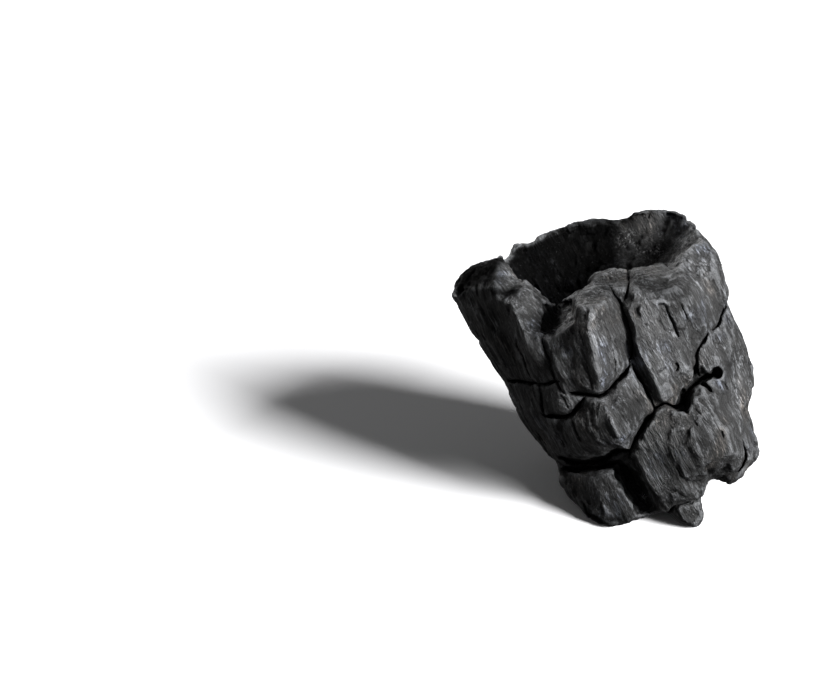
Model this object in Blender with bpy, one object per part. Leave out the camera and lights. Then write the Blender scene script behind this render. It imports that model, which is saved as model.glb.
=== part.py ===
"""One lump of hardwood charcoal, broken from a branch and standing on its rough lower end.

Metres, +Z up. The origin is the middle of the lump's box at the level of the surface that it
stands on. The checked, blocky front faces -Y, and the grain leans from the upper left (-X)
down to the lower right (+X).

The lump is one solid. Its front is laid out in the frame of a view from in front and 25
degrees above (U to the right and V down, in steps of about 0.28 mm at the lump), with the
depth Y of each corner stated in millimetres behind the foremost plane. Its back and underside
are laid out in X, Y, Z. Shrinkage cracks and the burnt-out hollow at the top, with its broken
lip, are cut out of it.
"""

import math

import bmesh
import bpy
from mathutils import Matrix, Vector
from mathutils.geometry import delaunay_2d_cdt

# ---------------------------------------------------------------- driving dimensions, millimetres
VIEW_PITCH = math.radians(25.0)  # how far the laying-out view looks down
VIEW_FOCAL = 2035.0  # in steps of U and V
VIEW_MID = (414.0, 347.0)
VIEW_FROM = (-53.5, -485.3, 286.6)  # in the laying-out frame: Y from the foremost plane
SHIFT = (-1.02, -36.0, 0.0)  # laying-out frame to the part's frame, so the box is centred on Z
EDGE_INSET = 3.5  # how far inside the outline the rounding of the flank begins, in steps
FLANK_INSET = 14.0  # the second ring of the back, and how much further back it lies
FLANK_BACK = 8.0
CRACK_ROOT = 0.16  # half its width at the root
FLOOR_CUT = 0.0  # everything under this level is worn flat
GRAIN_LEAN = math.radians(28.0)  # the fibres lean this far from upright, towards -X at the top
HOLLOW_MIDDLE = (-9.0, 41.0, 70.0)  # in the laying-out frame
HOLLOW_RADII = (19.0, 12.0, 23.0)
KNOT_AT = (717.0, 373.0)  # U, V
KNOT_R = 1.5
KNOT_DEEP = 6.0

# ---------------------------------------------------------------- the outline seen from the front
# U, V, depth Y, then how far the surface has come forward and gone back just inside the outline.
OUTLINE = [
    (450, 297, 37, 5, 5), (453, 285, 38, 3, 4), (459, 275, 38, 3, 4), (468, 267, 38, 2, 5),
    (482, 261, 37, 2, 6), (497, 257, 33, 3, 8), (508, 249, 42, 2, 7), (525, 240, 48, 2, 6),
    (550, 230, 53, 2, 6), (575, 222, 56, 2, 6), (595, 218, 57, 2, 5), (603, 217, 58, 2, 5),
    (610, 220, 58, 2, 5), (620, 218, 58, 2, 5), (630, 216, 58, 2, 5), (633, 211, 58, 2, 5),
    (640, 209, 58, 2, 5), (652, 209, 59, 2, 5), (665, 209, 59, 2, 5), (677, 211, 57, 2, 5),
    (688, 215, 53, 2, 6), (696, 221, 47, 2, 7), (700, 230, 42, 3, 7), (708, 240, 38, 5, 7),
    (716, 250, 37, 6, 6), (722, 264, 36, 6, 6), (726, 278, 35, 6, 7), (729, 292, 35, 6, 7),
    (727, 303, 31, 5, 8), (733, 314, 33, 6, 7), (740, 328, 35, 6, 7), (746, 343, 36, 6, 7),
    (751, 362, 36, 6, 7), (754, 380, 35, 6, 7), (752, 396, 32, 5, 7), (748, 408, 29, 5, 8),
    (752, 422, 30, 6, 7), (757, 438, 30, 6, 7), (760, 450, 29, 6, 6), (756, 460, 28, 5, 6),
    (748, 467, 25, 4, 8), (743, 474, 22, 4, 8), (737, 480, 20, 4, 8), (729, 484, 19, 4, 8),
    (720, 480, 18, 4, 8), (711, 478, 15, 3, 6), (706, 486, 11, 3, 4), (701, 498, 10, 3, 6),
    (703, 508, 10, 3, 4), (702, 518, 11, 3, 3), (696, 525, 11, 3, 3), (688, 526, 11, 3, 3),
    (679, 522, 11, 3, 4), (671, 514, 10, 2, 6), (662, 511, 12, 2, 7), (650, 516, 15, 2, 6),
    (637, 519, 14, 3, 5), (626, 524, 12, 3, 4), (612, 527, 10, 3, 3), (600, 525, 12, 3, 3),
    (591, 519, 15, 4, 3), (581, 507, 20, 4, 3), (568, 493, 25, 5, 4), (560, 480, 28, 5, 4),
    (556, 464, 31, 5, 4), (545, 453, 33, 6, 4), (533, 438, 35, 6, 4), (520, 420, 37, 6, 5),
    (511, 400, 38, 6, 5), (503, 382, 38, 6, 5), (494, 369, 38, 6, 5), (482, 350, 38, 6, 5),
    (470, 330, 38, 6, 5), (460, 312, 38, 6, 5),
]

# ---------------------------------------------------------------- the front: ridges, edges, corners
# Each line is a run of U, V, Y corners that keeps its edges; the faces between them are flat.
PRONG = [
    [(497, 257, 33), (519, 280, 29), (513, 286, 25), (494, 286, 22), (497, 257, 33)],
    [(494, 286, 22), (467, 292, 29), (459, 300, 33)],
    [(513, 286, 25), (521, 289, 21), (526, 281, 24), (549, 303, 21), (543, 310, 18.5), (539, 328, 14.5), (541, 338, 11)],
    [(521, 289, 21), (511, 303, 16.5), (524, 334, 12), (533, 360, 11)],
]
LEFT_FLANK = [
    [(478, 306, 27), (492, 338, 26), (511, 376, 24), (520, 384, 24), (530, 412, 23), (546, 440, 24)],
    [(498, 300, 21), (512, 334, 19), (530, 380, 17), (540, 412, 16), (556, 446, 17)],
    [(541, 338, 9), (550, 360, 8.5), (556, 381, 9), (560, 398, 9)],
    [(520, 383, 21), (537, 383, 14), (556, 382, 9)],
]
BLOCK_A = [
    [(575, 322, 7), (568, 350, 6.5), (564, 380, 7), (562, 395, 8)],
    [(541, 338, 9), (558, 334, 8), (575, 322, 7), (577, 306, 7)],
    [(576, 294, 13), (590, 288, 15), (609, 291, 11)],
    [(577, 306, 7), (590, 308, 4), (601, 305, 5), (609, 297, 9)],
    [(590, 308, 4), (589, 325, 2), (594, 346, 1), (598, 372, 1), (601, 394, 3)],
    [(611, 292, 12), (620, 311, 11), (628, 330, 11.5), (632, 348, 12), (629, 367, 10), (617, 381, 7), (603, 395, 5)],
    [(562, 396, 9), (581, 396, 7), (603, 396, 5)],
]
BLOCK_B = [
    [(604, 399, 3), (611, 420, 0), (618, 438, 0), (625, 449, 3)],
    [(631, 377, 8), (641, 388, 8), (650, 400, 8), (654, 409, 8.5)],
    [(631, 377, 8), (618, 390, 6), (606, 398, 5)],
    [(654, 411, 8.5), (646, 427, 6.5), (638, 441, 6.5), (631, 452, 7)],
    [(552, 416, 11), (565, 417, 9.5), (578, 411, 7.5), (581, 399, 7)],
    [(560, 455, 16), (575, 460, 13), (592, 458, 9.5), (610, 452, 6), (625, 450, 5), (631, 454, 8)],
    [(571, 420, 7), (577, 430, 5.5), (583, 443, 6)],
]
BLOCK_C = [
    [(643, 304, 8), (650, 325, 5.5), (656, 348, 4.5), (663, 375, 4.5), (667, 398, 6.5)],
    [(625, 300, 12), (643, 304, 8), (656, 300, 9), (672, 301, 11)],
    [(632, 350, 12), (640, 372, 10.5), (650, 390, 9.5), (657, 406, 9)],
    [(672, 301, 11), (680, 320, 12), (691, 345, 14), (695, 364, 14), (690, 383, 13), (679, 404, 10), (666, 405, 8.5), (657, 408, 9)],
]
TOP_RIM = [
    [(566, 299, 23), (577, 291, 22), (588, 280, 23), (600, 270, 25), (616, 268, 26), (632, 269, 24), (645, 265, 27), (660, 263, 28), (672, 271, 25)],
    [(590, 288, 15), (612, 290, 12.5), (628, 286, 14), (640, 292, 12)],
    [(672, 271, 25), (683, 257, 28), (692, 245, 31), (700, 233, 39)],
    [(640, 270, 24), (638, 285, 15), (643, 303, 8)],
    [(672, 271, 25), (680, 284, 17), (690, 298, 15)],
]
RIGHT_FACE = [
    [(690, 298, 15), (700, 318, 16), (708, 334, 18), (698, 350, 16), (695, 364, 14)],
    [(702, 250, 31), (708, 275, 27), (713, 300, 24), (719, 314, 25), (708, 334, 18)],
    [(719, 314, 25), (723.5, 306, 26)],
    [(719, 316, 25), (729, 338, 26), (735, 364, 26), (737, 388, 24), (733, 402, 21)],
    [(708, 345, 17), (716, 360, 16), (717, 372, 16), (722, 388, 16), (733, 402, 21)],
    [(690, 386, 13), (702, 380, 13), (712, 374, 15)],
]
LOWER_RIGHT = [
    [(682, 409, 6), (690, 428, 3), (697, 446, 1), (704, 464, 2), (709, 476, 6)],
    [(702, 392, 10), (712, 412, 8), (722, 432, 7.5), (731, 453, 8.5), (733, 470, 12)],
    [(740, 420, 18), (741, 445, 15), (745, 460, 16), (738, 474, 16)],
    [(631, 456, 10), (645, 476, 7), (655, 492, 7), (665, 508, 9)],
    [(655, 414, 7), (645, 431, 5), (637, 448, 6), (640, 460, 7)],
    [(668, 430, 5), (670, 455, 4), (679, 480, 4), (684, 500, 7), (690, 512, 8)],
]
LOWER_LEFT = [
    [(566, 474, 23), (583, 474, 16), (600, 470, 12), (614, 471, 11), (621, 477, 11), (625, 490, 10), (631, 505, 10)],
    [(590, 480, 12), (602, 494, 8), (612, 508, 7), (616, 518, 8)],
    [(578, 486, 18), (588, 503, 14)],
    [(585, 465, 21), (605, 462, 18), (618, 463, 16)],
    [(624, 464, 16), (634, 478, 19), (644, 494, 19), (653, 506, 16)],
]
HOLLOW = [
    [(552, 308, 25), (566, 304, 22), (572, 310, 14)],
    [(548, 322, 17), (562, 322, 16)],
    [(552, 297, 38), (562, 288, 42), (575, 278, 44), (600, 266, 46), (618, 264, 46), (636, 262, 42), (648, 259, 38)],
    [(524, 277, 40), (538, 286, 40), (550, 297, 38)],
    [(508, 262, 42), (530, 262, 46), (560, 252, 50), (590, 244, 52), (618, 242, 52)],
    [(600, 226, 54), (618, 226, 54)],
    [(633, 217, 55), (632, 236, 50), (646, 246, 46), (657, 256, 39), (668, 266, 31)],
    [(648, 222, 54), (668, 222, 53), (684, 228, 47), (692, 237, 38)],
    [(668, 242, 46), (681, 251, 35)],
]
FRONT = PRONG + LEFT_FLANK + BLOCK_A + BLOCK_B + BLOCK_C + TOP_RIM + RIGHT_FACE + LOWER_RIGHT + LOWER_LEFT + HOLLOW

# The lip of the hollow and, inside it, the wall that shows: U, V, depth Y.
LIP = [
    (503, 259, 38), (510, 254, 42), (527, 245, 47), (551, 235, 52), (576, 227, 55), (596, 223, 56),
    (610, 225, 57), (622, 223, 57), (634, 219, 57), (637, 214, 58), (652, 213, 58), (665, 213, 58),
    (677, 216, 56), (687, 220, 51), (693, 225, 47), (696, 232, 43), (697, 240, 39), (690, 249, 35),
    (683, 258, 31), (676, 266, 28), (671.5, 270.5, 26), (662, 264, 40), (655, 266, 43), (645, 269, 45),
    (630, 270, 47), (618, 269, 48), (609, 269, 48), (601, 271, 48), (592, 276, 48), (588, 284, 47),
    (583, 290, 46), (575, 294, 44), (565, 299, 41), (556, 302, 38), (550, 303.5, 34), (543, 297, 34),
    (537, 291.5, 35), (526, 280.5, 36), (522, 283, 33), (516, 276.5, 35), (509, 268, 36),
]
WALL = [
    (520, 262, 42), (530, 262, 45), (545, 275, 46), (545, 250, 50), (560, 262, 53), (560, 285, 49),
    (580, 250, 56), (585, 270, 53), (600, 240, 57), (605, 258, 55), (625, 240, 57), (625, 258, 53),
    (645, 230, 57), (645, 250, 53), (665, 230, 56), (665, 250, 49), (680, 235, 51), (682, 248, 42),
    (655, 259, 47), (673, 262, 36),
]
LIP_FRONT = -30.0  # the depth at which the cut for the lip begins

# ---------------------------------------------------------------- back and underside, in X, Y, Z
BACK = [
    # feet: two in front, three behind, each worn flat
    (-1, 17, -0.6), (5, 16, -0.6), (3, 22, -0.6), (22, 16, -0.6), (26, 15, -0.6), (24, 20, -0.4),
    (27, 42, -0.8), (20, 47, -0.8), (28, 48, -0.6), (-6, 42, -0.8), (-9, 47, -0.6), (-1, 48, -0.6),
    # the underside between them
    (12, 18, 4.5), (13, 30, 4.0), (2, 32, 3.5), (24, 31, 3.5), (8, 44, 2.5), (33, 24, 7.5), (36, 34, 8.5),
    (34, 44, 6.0), (-9, 34, 6.5), (-14, 42, 8.0), (40, 38, 15.0),
    # the back, bottom to top
    (-16, 53, 13), (-4, 57, 9), (10, 58, 8), (24, 57, 9), (35, 50, 14), (-26, 51, 27), (-16, 60, 25),
    (0, 64, 22), (16, 65, 24), (30, 60, 22), (40, 48, 25), (-34, 51, 41), (-26, 60, 39), (-10, 65, 37),
    (6, 68, 39), (22, 67, 37), (35, 59, 36), (43, 48, 36), (-38, 53, 56), (-30, 62, 53), (-16, 65, 52),
    (0, 67, 54), (14, 69, 52), (29, 64, 52), (37, 54, 50), (-24, 62, 64), (-16, 63, 64), (-8, 65, 66),
    (6, 66, 67), (18, 67, 66), (28, 61, 62),
]

# ---------------------------------------------------------------- shrinkage cracks
# U, V runs across the front, each with its own depth in and half width at the mouth.
CRACKS = [
    ([(556, 396), (580, 397), (603, 397), (617, 383), (629, 368), (634, 350)], 9.0, 0.75),
    ([(610, 286), (617, 303), (625, 325), (632, 346), (633, 360)], 8.0, 0.7),
    ([(630, 366), (641, 385), (651, 399), (656, 411)], 9.0, 0.7),
    ([(658, 406), (646, 427), (637, 444), (629, 458)], 9.0, 0.8),
    ([(552, 458), (575, 462), (595, 461), (611, 454), (626, 451), (634, 452)], 9.0, 0.8),
    ([(654, 409), (668, 404), (681, 405), (690, 386), (702, 380), (714, 374)], 8.0, 0.8),
    ([(712, 328), (699, 349), (695, 366), (697, 382)], 6.0, 0.5),
    ([(513, 381), (530, 384), (545, 384), (560, 381)], 5.0, 0.4),
    ([(546, 416), (562, 417), (572, 415), (582, 407)], 6.0, 0.6),
    ([(664, 303), (672, 322), (682, 338)], 4.0, 0.5),
    ([(740, 440), (745, 457), (740, 474)], 4.0, 0.45),
    ([(619, 462), (632, 478), (643, 496)], 7.0, 1.1),
]
# X, Y, Z runs across the back, the underside and the flanks, cut along the stated way in.
BACK_CRACKS = [
    ([(-30, 66, 34), (-14, 70, 40), (2, 72, 37), (18, 72, 44), (34, 66, 41)], (0, -1, 0.1), 9.0, 0.8),
    ([(-22, 66, 66), (-10, 70, 48), (2, 72, 37)], (0, -1, 0.1), 8.0, 0.7),
    ([(10, 72, 72), (18, 72, 54), (22, 70, 42)], (0, -1, 0), 8.0, 0.7),
    ([(6, 71, 38), (14, 68, 22), (18, 62, 6)], (0, -1, 0.1), 8.0, 0.7),
    ([(-24, 60, 20), (-6, 68, 16), (12, 69, 22), (30, 64, 17)], (0, -1, 0.1), 7.0, 0.7),
    ([(47, 34, 62), (48, 44, 50), (47, 50, 38)], (-1, -0.3, 0), 6.0, 0.6),
]


def in_view(u, v, y):
    """The laying-out frame's point at U, V and depth Y."""
    a = (u - VIEW_MID[0]) / VIEW_FOCAL
    b = (VIEW_MID[1] - v) / VIEW_FOCAL
    along = Vector((a, math.cos(VIEW_PITCH) + b * math.sin(VIEW_PITCH), b * math.cos(VIEW_PITCH) - math.sin(VIEW_PITCH)))
    return Vector(VIEW_FROM) + along * ((y - VIEW_FROM[1]) / along.y)


def to_view(p):
    """U, V of a point of the laying-out frame."""
    d = Vector(p) - Vector(VIEW_FROM)
    away = d.y * math.cos(VIEW_PITCH) - d.z * math.sin(VIEW_PITCH)
    up = d.y * math.sin(VIEW_PITCH) + d.z * math.cos(VIEW_PITCH)
    return VIEW_MID[0] + VIEW_FOCAL * d.x / away, VIEW_MID[1] - VIEW_FOCAL * up / away


def inset(loop, by):
    """U, V of each outline corner moved inwards."""
    out = []
    n = len(loop)
    for i in range(n):
        a, b, c = (Vector(loop[(i + k) % n][:2]) for k in (-1, 0, 1))
        t = (b - a).normalized() + (c - b).normalized()
        inward = Vector((-t.y, t.x)).normalized()  # the loop runs clockwise on the page, and V points down
        out.append(b + inward * by)
    return out


def sheet(loop, lines, dots):
    """Corners and faces of one side of the lump: a constrained triangulation in U, V."""
    points, edges, seen = [], [], {}

    def corner(u, v, y):
        key = (round(u, 2), round(v, 2))
        if key not in seen:
            seen[key] = len(points)
            points.append((u, v, y))
        return seen[key]

    ring = [corner(*p[:3]) for p in loop]
    edges += [(ring[i], ring[(i + 1) % len(ring)]) for i in range(len(ring))]
    for line in lines:
        run = [corner(*p) for p in line]
        edges += [(a, b) for a, b in zip(run, run[1:]) if a != b]
    for p in dots:
        corner(*p)
    flat = [Vector(p[:2]) for p in points]
    verts, _, faces, origin, _, _ = delaunay_2d_cdt(flat, edges, [ring], 1, 1e-4)
    depth = []
    for v, source in zip(verts, origin):
        if source:
            depth.append(points[source[0]][2])
        else:  # a crossing of two edges takes the depth of its nearest corner
            depth.append(min(points, key=lambda p: (Vector(p[:2]) - v).length)[2])
    return [(v.x, v.y, d) for v, d in zip(verts, depth)], faces


def lump_mesh():
    """The closed shell: front and back sheets that share the outline."""
    rim = inset(OUTLINE, EDGE_INSET)
    front_dots = [(r.x, r.y, p[2] - p[3]) for r, p in zip(rim, OUTLINE)]
    back_dots = [(r.x, r.y, p[2] + p[4]) for r, p in zip(rim, OUTLINE)]
    # a second ring rounds the flanks off behind; the foot has none
    for r, p in list(zip(inset(OUTLINE, FLANK_INSET), OUTLINE))[::2]:
        if p[4] >= 5:
            back_dots.append((r.x, r.y, p[2] + p[4] + FLANK_BACK))
    for p in BACK:
        u, v = to_view(p)
        if min((Vector((u, v)) - Vector(d[:2])).length for d in back_dots) > 5.0:
            back_dots.append((u, v, p[1]))
    loop = [(p[0], p[1], p[2]) for p in OUTLINE]
    bm = bmesh.new()
    made = {}
    for lines, dots, turned in ((FRONT, front_dots, False), ([], back_dots, True)):
        points, faces = sheet(loop, lines, dots)
        corners = []
        on_loop = {(round(p[0], 1), round(p[1], 1)) for p in loop}
        for u, v, y in points:
            key = (round(u, 1), round(v, 1))
            if key in on_loop and key in made:
                corners.append(made[key])
                continue
            vert = bm.verts.new((in_view(u, v, y) + Vector(SHIFT)) / 1000.0)
            if key in on_loop:
                made[key] = vert
            corners.append(vert)
        for face in faces:
            ring = [corners[i] for i in face]
            bm.faces.new(ring[::-1] if turned else ring)
    bmesh.ops.recalc_face_normals(bm, faces=bm.faces)
    if bm.calc_volume(signed=True) < 0:
        bmesh.ops.reverse_faces(bm, faces=bm.faces)
    return bm


def object_from(bm, name):
    mesh = bpy.data.meshes.new(name)
    bm.to_mesh(mesh)
    bm.free()
    obj = bpy.data.objects.new(name, mesh)
    bpy.context.scene.collection.objects.link(obj)
    return obj


def wedge(name, run, way, deep, half, out=4.0):
    """A crack's cutter: a ribbon that is wide outside the surface and thin at its root.
    run is the mouth's line on the surface, in metres in the part's frame, and way points in."""
    bm = bmesh.new()
    n = len(run)
    rows = []
    for i, p in enumerate(run):
        along = (run[min(i + 1, n - 1)] - run[max(i - 1, 0)]).normalized()
        side = along.cross(way).normalized()
        end = i in (0, n - 1)
        w, d = (0.35, 0.55) if end else (1.0, 1.0)
        a = half * w / 1000
        mouth, root = p - way * out / 1000, p + way * deep * d / 1000
        spread = a * (1 + out / deep)
        rows.append([
            bm.verts.new(mouth - side * spread), bm.verts.new(mouth + side * spread),
            bm.verts.new(root + side * CRACK_ROOT / 1000), bm.verts.new(root - side * CRACK_ROOT / 1000),
        ])
    for a, b in zip(rows, rows[1:]):
        for k in range(4):
            bm.faces.new((a[k], a[(k + 1) % 4], b[(k + 1) % 4], b[k]))
    bm.faces.new(rows[0][::-1])
    bm.faces.new(rows[-1])
    bmesh.ops.triangulate(bm, faces=bm.faces)
    bmesh.ops.recalc_face_normals(bm, faces=bm.faces)
    if bm.calc_volume(signed=True) < 0:
        bmesh.ops.reverse_faces(bm, faces=bm.faces)
    return as_cutter(object_from(bm, name))


def as_cutter(obj):
    obj.hide_render = True
    obj.display_type = "WIRE"
    return obj


def cut(obj, cutter):
    step = obj.modifiers.new(cutter.name, "BOOLEAN")
    step.operation = "DIFFERENCE"
    step.solver = "EXACT"
    step.object = cutter


def hollow_cutter():
    """The burnt-out heart at the top, an uneven egg that leans with the grain and opens upwards."""
    bm = bmesh.new()
    bmesh.ops.create_icosphere(bm, subdivisions=3, radius=1.0)
    lean = Matrix.Rotation(-GRAIN_LEAN, 3, "Y")
    for v in bm.verts:
        c = v.co.copy()
        wobble = 1 + 0.09 * math.sin(5.1 * c.x + 1.7) * math.cos(4.3 * c.y + 0.4) + 0.07 * math.sin(6.3 * c.z + 0.6)
        v.co = lean @ Vector(c[k] * HOLLOW_RADII[k] for k in range(3)) * wobble
        v.co = (v.co + Vector(HOLLOW_MIDDLE) + Vector(SHIFT)) / 1000
    return as_cutter(object_from(bm, "hollow_cutter"))


def lip_cutter():
    """The hollow's broken lip and upright inner wall, cut along the stated view."""
    points, faces = sheet(LIP, [], WALL)
    count = len(LIP)
    bm = bmesh.new()
    wall = [bm.verts.new((in_view(u, v, y) + Vector(SHIFT)) / 1000) for u, v, y in points]
    mouth = [bm.verts.new((in_view(u, v, LIP_FRONT) + Vector(SHIFT)) / 1000) for u, v, _ in points]
    for face in faces:
        bm.faces.new([wall[i] for i in face])
        bm.faces.new([mouth[i] for i in face][::-1])
    for i in range(count):
        j = (i + 1) % count
        bm.faces.new((wall[i], mouth[i], mouth[j], wall[j]))
    bmesh.ops.triangulate(bm, faces=bm.faces)
    bmesh.ops.recalc_face_normals(bm, faces=bm.faces)
    if bm.calc_volume(signed=True) < 0:
        bmesh.ops.reverse_faces(bm, faces=bm.faces)
    return as_cutter(object_from(bm, "lip_cutter"))


def knot_cutter(body):
    """The small round hole low on the right flank, where a twig's heart has burnt out."""
    run, way = surface_run(body, [KNOT_AT, KNOT_AT])
    bm = bmesh.new()
    turn = way.to_track_quat("Z", "Y").to_matrix().to_4x4()
    deep, wide = KNOT_DEEP / 1000, KNOT_R / 1000
    place = Matrix.Translation(run[0] + way * (deep / 2 - 0.001)) @ turn
    bmesh.ops.create_cone(bm, cap_ends=True, segments=14, radius1=wide * 1.25, radius2=wide * 0.6, depth=deep + 0.002, matrix=place)
    return as_cutter(object_from(bm, "knot_cutter"))


def floor_cutter():
    bm = bmesh.new()
    bmesh.ops.create_cube(bm, size=0.3)
    for v in bm.verts:
        v.co.z += FLOOR_CUT / 1000 - 0.15
    return as_cutter(object_from(bm, "floor_cutter"))


def surface_run(body, line):
    """Where the rays of the laying-out view meet the front, for a crack's line in U, V."""
    start = (Vector(VIEW_FROM) + Vector(SHIFT)) / 1000
    run, ways = [], []
    for u, v in line:
        to = (in_view(u, v, 40.0) + Vector(SHIFT)) / 1000
        way = (to - start).normalized()
        hit, where, _, _ = body.ray_cast(start, way)
        run.append(where if hit else to)
        ways.append(way)
    middle = sum(ways, Vector()) / len(ways)
    return run, middle.normalized()


def charcoal():
    mat = bpy.data.materials.new("charcoal")
    mat.use_nodes = True
    shader = mat.node_tree.nodes["Principled BSDF"]
    shader.inputs["Base Color"].default_value = (0.035, 0.035, 0.037, 1.0)
    shader.inputs["Roughness"].default_value = 0.62
    shader.inputs["Metallic"].default_value = 0.0
    return mat


def main():
    for obj in list(bpy.data.objects):
        bpy.data.objects.remove(obj)
    body = object_from(lump_mesh(), "charcoal_lump")
    body.data.materials.append(charcoal())
    bpy.context.view_layer.update()
    cutters = [floor_cutter(), hollow_cutter(), lip_cutter(), knot_cutter(body)]
    for i, (line, deep, half) in enumerate(CRACKS):
        run, way = surface_run(body, line)
        cutters.append(wedge(f"crack_{i + 1:02d}", run, way, deep, half))
    for i, (line, way, deep, half) in enumerate(BACK_CRACKS):
        run = [(Vector(p) + Vector(SHIFT)) / 1000 for p in line]
        cutters.append(wedge(f"back_crack_{i + 1:02d}", run, Vector(way).normalized(), deep, half))
    for cutter in cutters:
        cut(body, cutter)


main()
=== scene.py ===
"""The looks of one lump of hardwood charcoal: its checked surface, its cracks, its grain and its
char, with a pale floor and soft studio light. Lengths in the shaping are millimetres."""

import math
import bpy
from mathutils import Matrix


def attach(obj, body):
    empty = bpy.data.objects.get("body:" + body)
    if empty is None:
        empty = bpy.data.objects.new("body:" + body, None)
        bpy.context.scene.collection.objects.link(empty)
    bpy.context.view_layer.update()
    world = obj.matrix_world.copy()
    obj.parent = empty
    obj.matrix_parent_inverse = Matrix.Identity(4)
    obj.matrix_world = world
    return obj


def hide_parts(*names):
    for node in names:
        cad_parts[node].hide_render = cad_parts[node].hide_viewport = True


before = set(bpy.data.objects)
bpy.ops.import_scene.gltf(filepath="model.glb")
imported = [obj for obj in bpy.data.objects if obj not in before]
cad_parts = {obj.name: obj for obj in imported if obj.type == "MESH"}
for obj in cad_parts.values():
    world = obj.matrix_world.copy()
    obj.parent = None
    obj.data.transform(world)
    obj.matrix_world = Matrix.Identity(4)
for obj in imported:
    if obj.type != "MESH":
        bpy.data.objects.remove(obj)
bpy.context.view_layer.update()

from concurrent.futures import ThreadPoolExecutor

import bpy
import numpy as np
import openvdb
from mathutils import Vector
from mathutils.geometry import delaunay_2d_cdt

# ---------------------------------------------------------------- sizes, millimetres
VIEW_PITCH = math.radians(25.0)  # how far the camera looks down
VIEW_FOCAL = 2035.0  # in pixels of an 828 x 694 picture
VIEW_MID = (414.0, 347.0)
VIEW_FROM = (-53.5, -485.3, 286.6)
SHIFT = (-1.02, -36.0, 0.0)
EDGE_INSET = 3.5
FLANK_INSET = 14.0
FLANK_BACK = 8.0
GRAIN_LEAN = math.radians(28.0)  # the fibres lean this far from upright, towards -X at the top
HOLLOW_MIDDLE = (-9.0, 41.0, 70.0)
HOLLOW_RADII = (19.0, 12.0, 23.0)
PITH = (-7.0, 44.0, 70.0)  # a point of the branch's heart, before SHIFT
VOXEL = 0.34
MOST_TRIANGLES = 190000
STEP_MM = 0.281  # one step of U or V at the lump

# ---------------------------------------------------------------- the outline seen from the front
# U, V, depth Y, then how far the surface has come forward and gone back just inside the outline.
OUTLINE = [
    (450, 297, 37, 5, 5), (453, 285, 38, 3, 4), (459, 275, 38, 3, 4), (468, 267, 38, 2, 5),
    (482, 261, 37, 2, 6), (497, 257, 33, 3, 8), (508, 249, 42, 2, 7), (525, 240, 48, 2, 6),
    (550, 230, 53, 2, 6), (575, 222, 56, 2, 6), (595, 218, 57, 2, 5), (603, 217, 58, 2, 5),
    (610, 220, 58, 2, 5), (620, 218, 58, 2, 5), (630, 216, 58, 2, 5), (633, 211, 58, 2, 5),
    (640, 209, 58, 2, 5), (652, 209, 59, 2, 5), (665, 209, 59, 2, 5), (677, 211, 57, 2, 5),
    (688, 215, 53, 2, 6), (696, 221, 47, 2, 7), (700, 230, 42, 3, 7), (708, 240, 38, 5, 7),
    (716, 250, 37, 6, 6), (722, 264, 36, 6, 6), (726, 278, 35, 6, 7), (729, 292, 35, 6, 7),
    (727, 303, 31, 5, 8), (733, 314, 33, 6, 7), (740, 328, 35, 6, 7), (746, 343, 36, 6, 7),
    (751, 362, 36, 6, 7), (754, 380, 35, 6, 7), (752, 396, 32, 5, 7), (748, 408, 29, 5, 8),
    (752, 422, 30, 6, 7), (757, 438, 30, 6, 7), (760, 450, 29, 6, 6), (756, 460, 28, 5, 6),
    (748, 467, 25, 4, 8), (743, 474, 22, 4, 8), (737, 480, 20, 4, 8), (729, 484, 19, 4, 8),
    (720, 480, 18, 4, 8), (711, 478, 15, 3, 6), (706, 486, 11, 3, 4), (701, 498, 10, 3, 6),
    (703, 508, 10, 3, 4), (702, 518, 11, 3, 3), (696, 525, 11, 3, 3), (688, 526, 11, 3, 3),
    (679, 522, 11, 3, 4), (671, 514, 10, 2, 6), (662, 511, 12, 2, 7), (650, 516, 15, 2, 6),
    (637, 519, 14, 3, 5), (626, 524, 12, 3, 4), (612, 527, 10, 3, 3), (600, 525, 12, 3, 3),
    (591, 519, 15, 4, 3), (581, 507, 20, 4, 3), (568, 493, 25, 5, 4), (560, 480, 28, 5, 4),
    (556, 464, 31, 5, 4), (545, 453, 33, 6, 4), (533, 438, 35, 6, 4), (520, 420, 37, 6, 5),
    (511, 400, 38, 6, 5), (503, 382, 38, 6, 5), (494, 369, 38, 6, 5), (482, 350, 38, 6, 5),
    (470, 330, 38, 6, 5), (460, 312, 38, 6, 5),
]

# ---------------------------------------------------------------- the front: ridges, edges, corners
# Each line is a run of U, V, Y corners that keeps its edges; the faces between them are flat.
PRONG = [
    [(497, 257, 33), (519, 280, 29), (513, 286, 25), (494, 286, 22), (497, 257, 33)],
    [(494, 286, 22), (467, 292, 29), (459, 300, 33)],
    [(513, 286, 25), (521, 289, 21), (526, 281, 24), (549, 303, 21), (543, 310, 18.5), (539, 328, 14.5), (541, 338, 11)],
    [(521, 289, 21), (511, 303, 16.5), (524, 334, 12), (533, 360, 11)],
]
LEFT_FLANK = [
    [(478, 306, 27), (492, 338, 26), (511, 376, 24), (520, 384, 24), (530, 412, 23), (546, 440, 24)],
    [(498, 300, 21), (512, 334, 19), (530, 380, 17), (540, 412, 16), (556, 446, 17)],
    [(541, 338, 9), (550, 360, 8.5), (556, 381, 9), (560, 398, 9)],
    [(520, 383, 21), (537, 383, 14), (556, 382, 9)],
]
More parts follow.
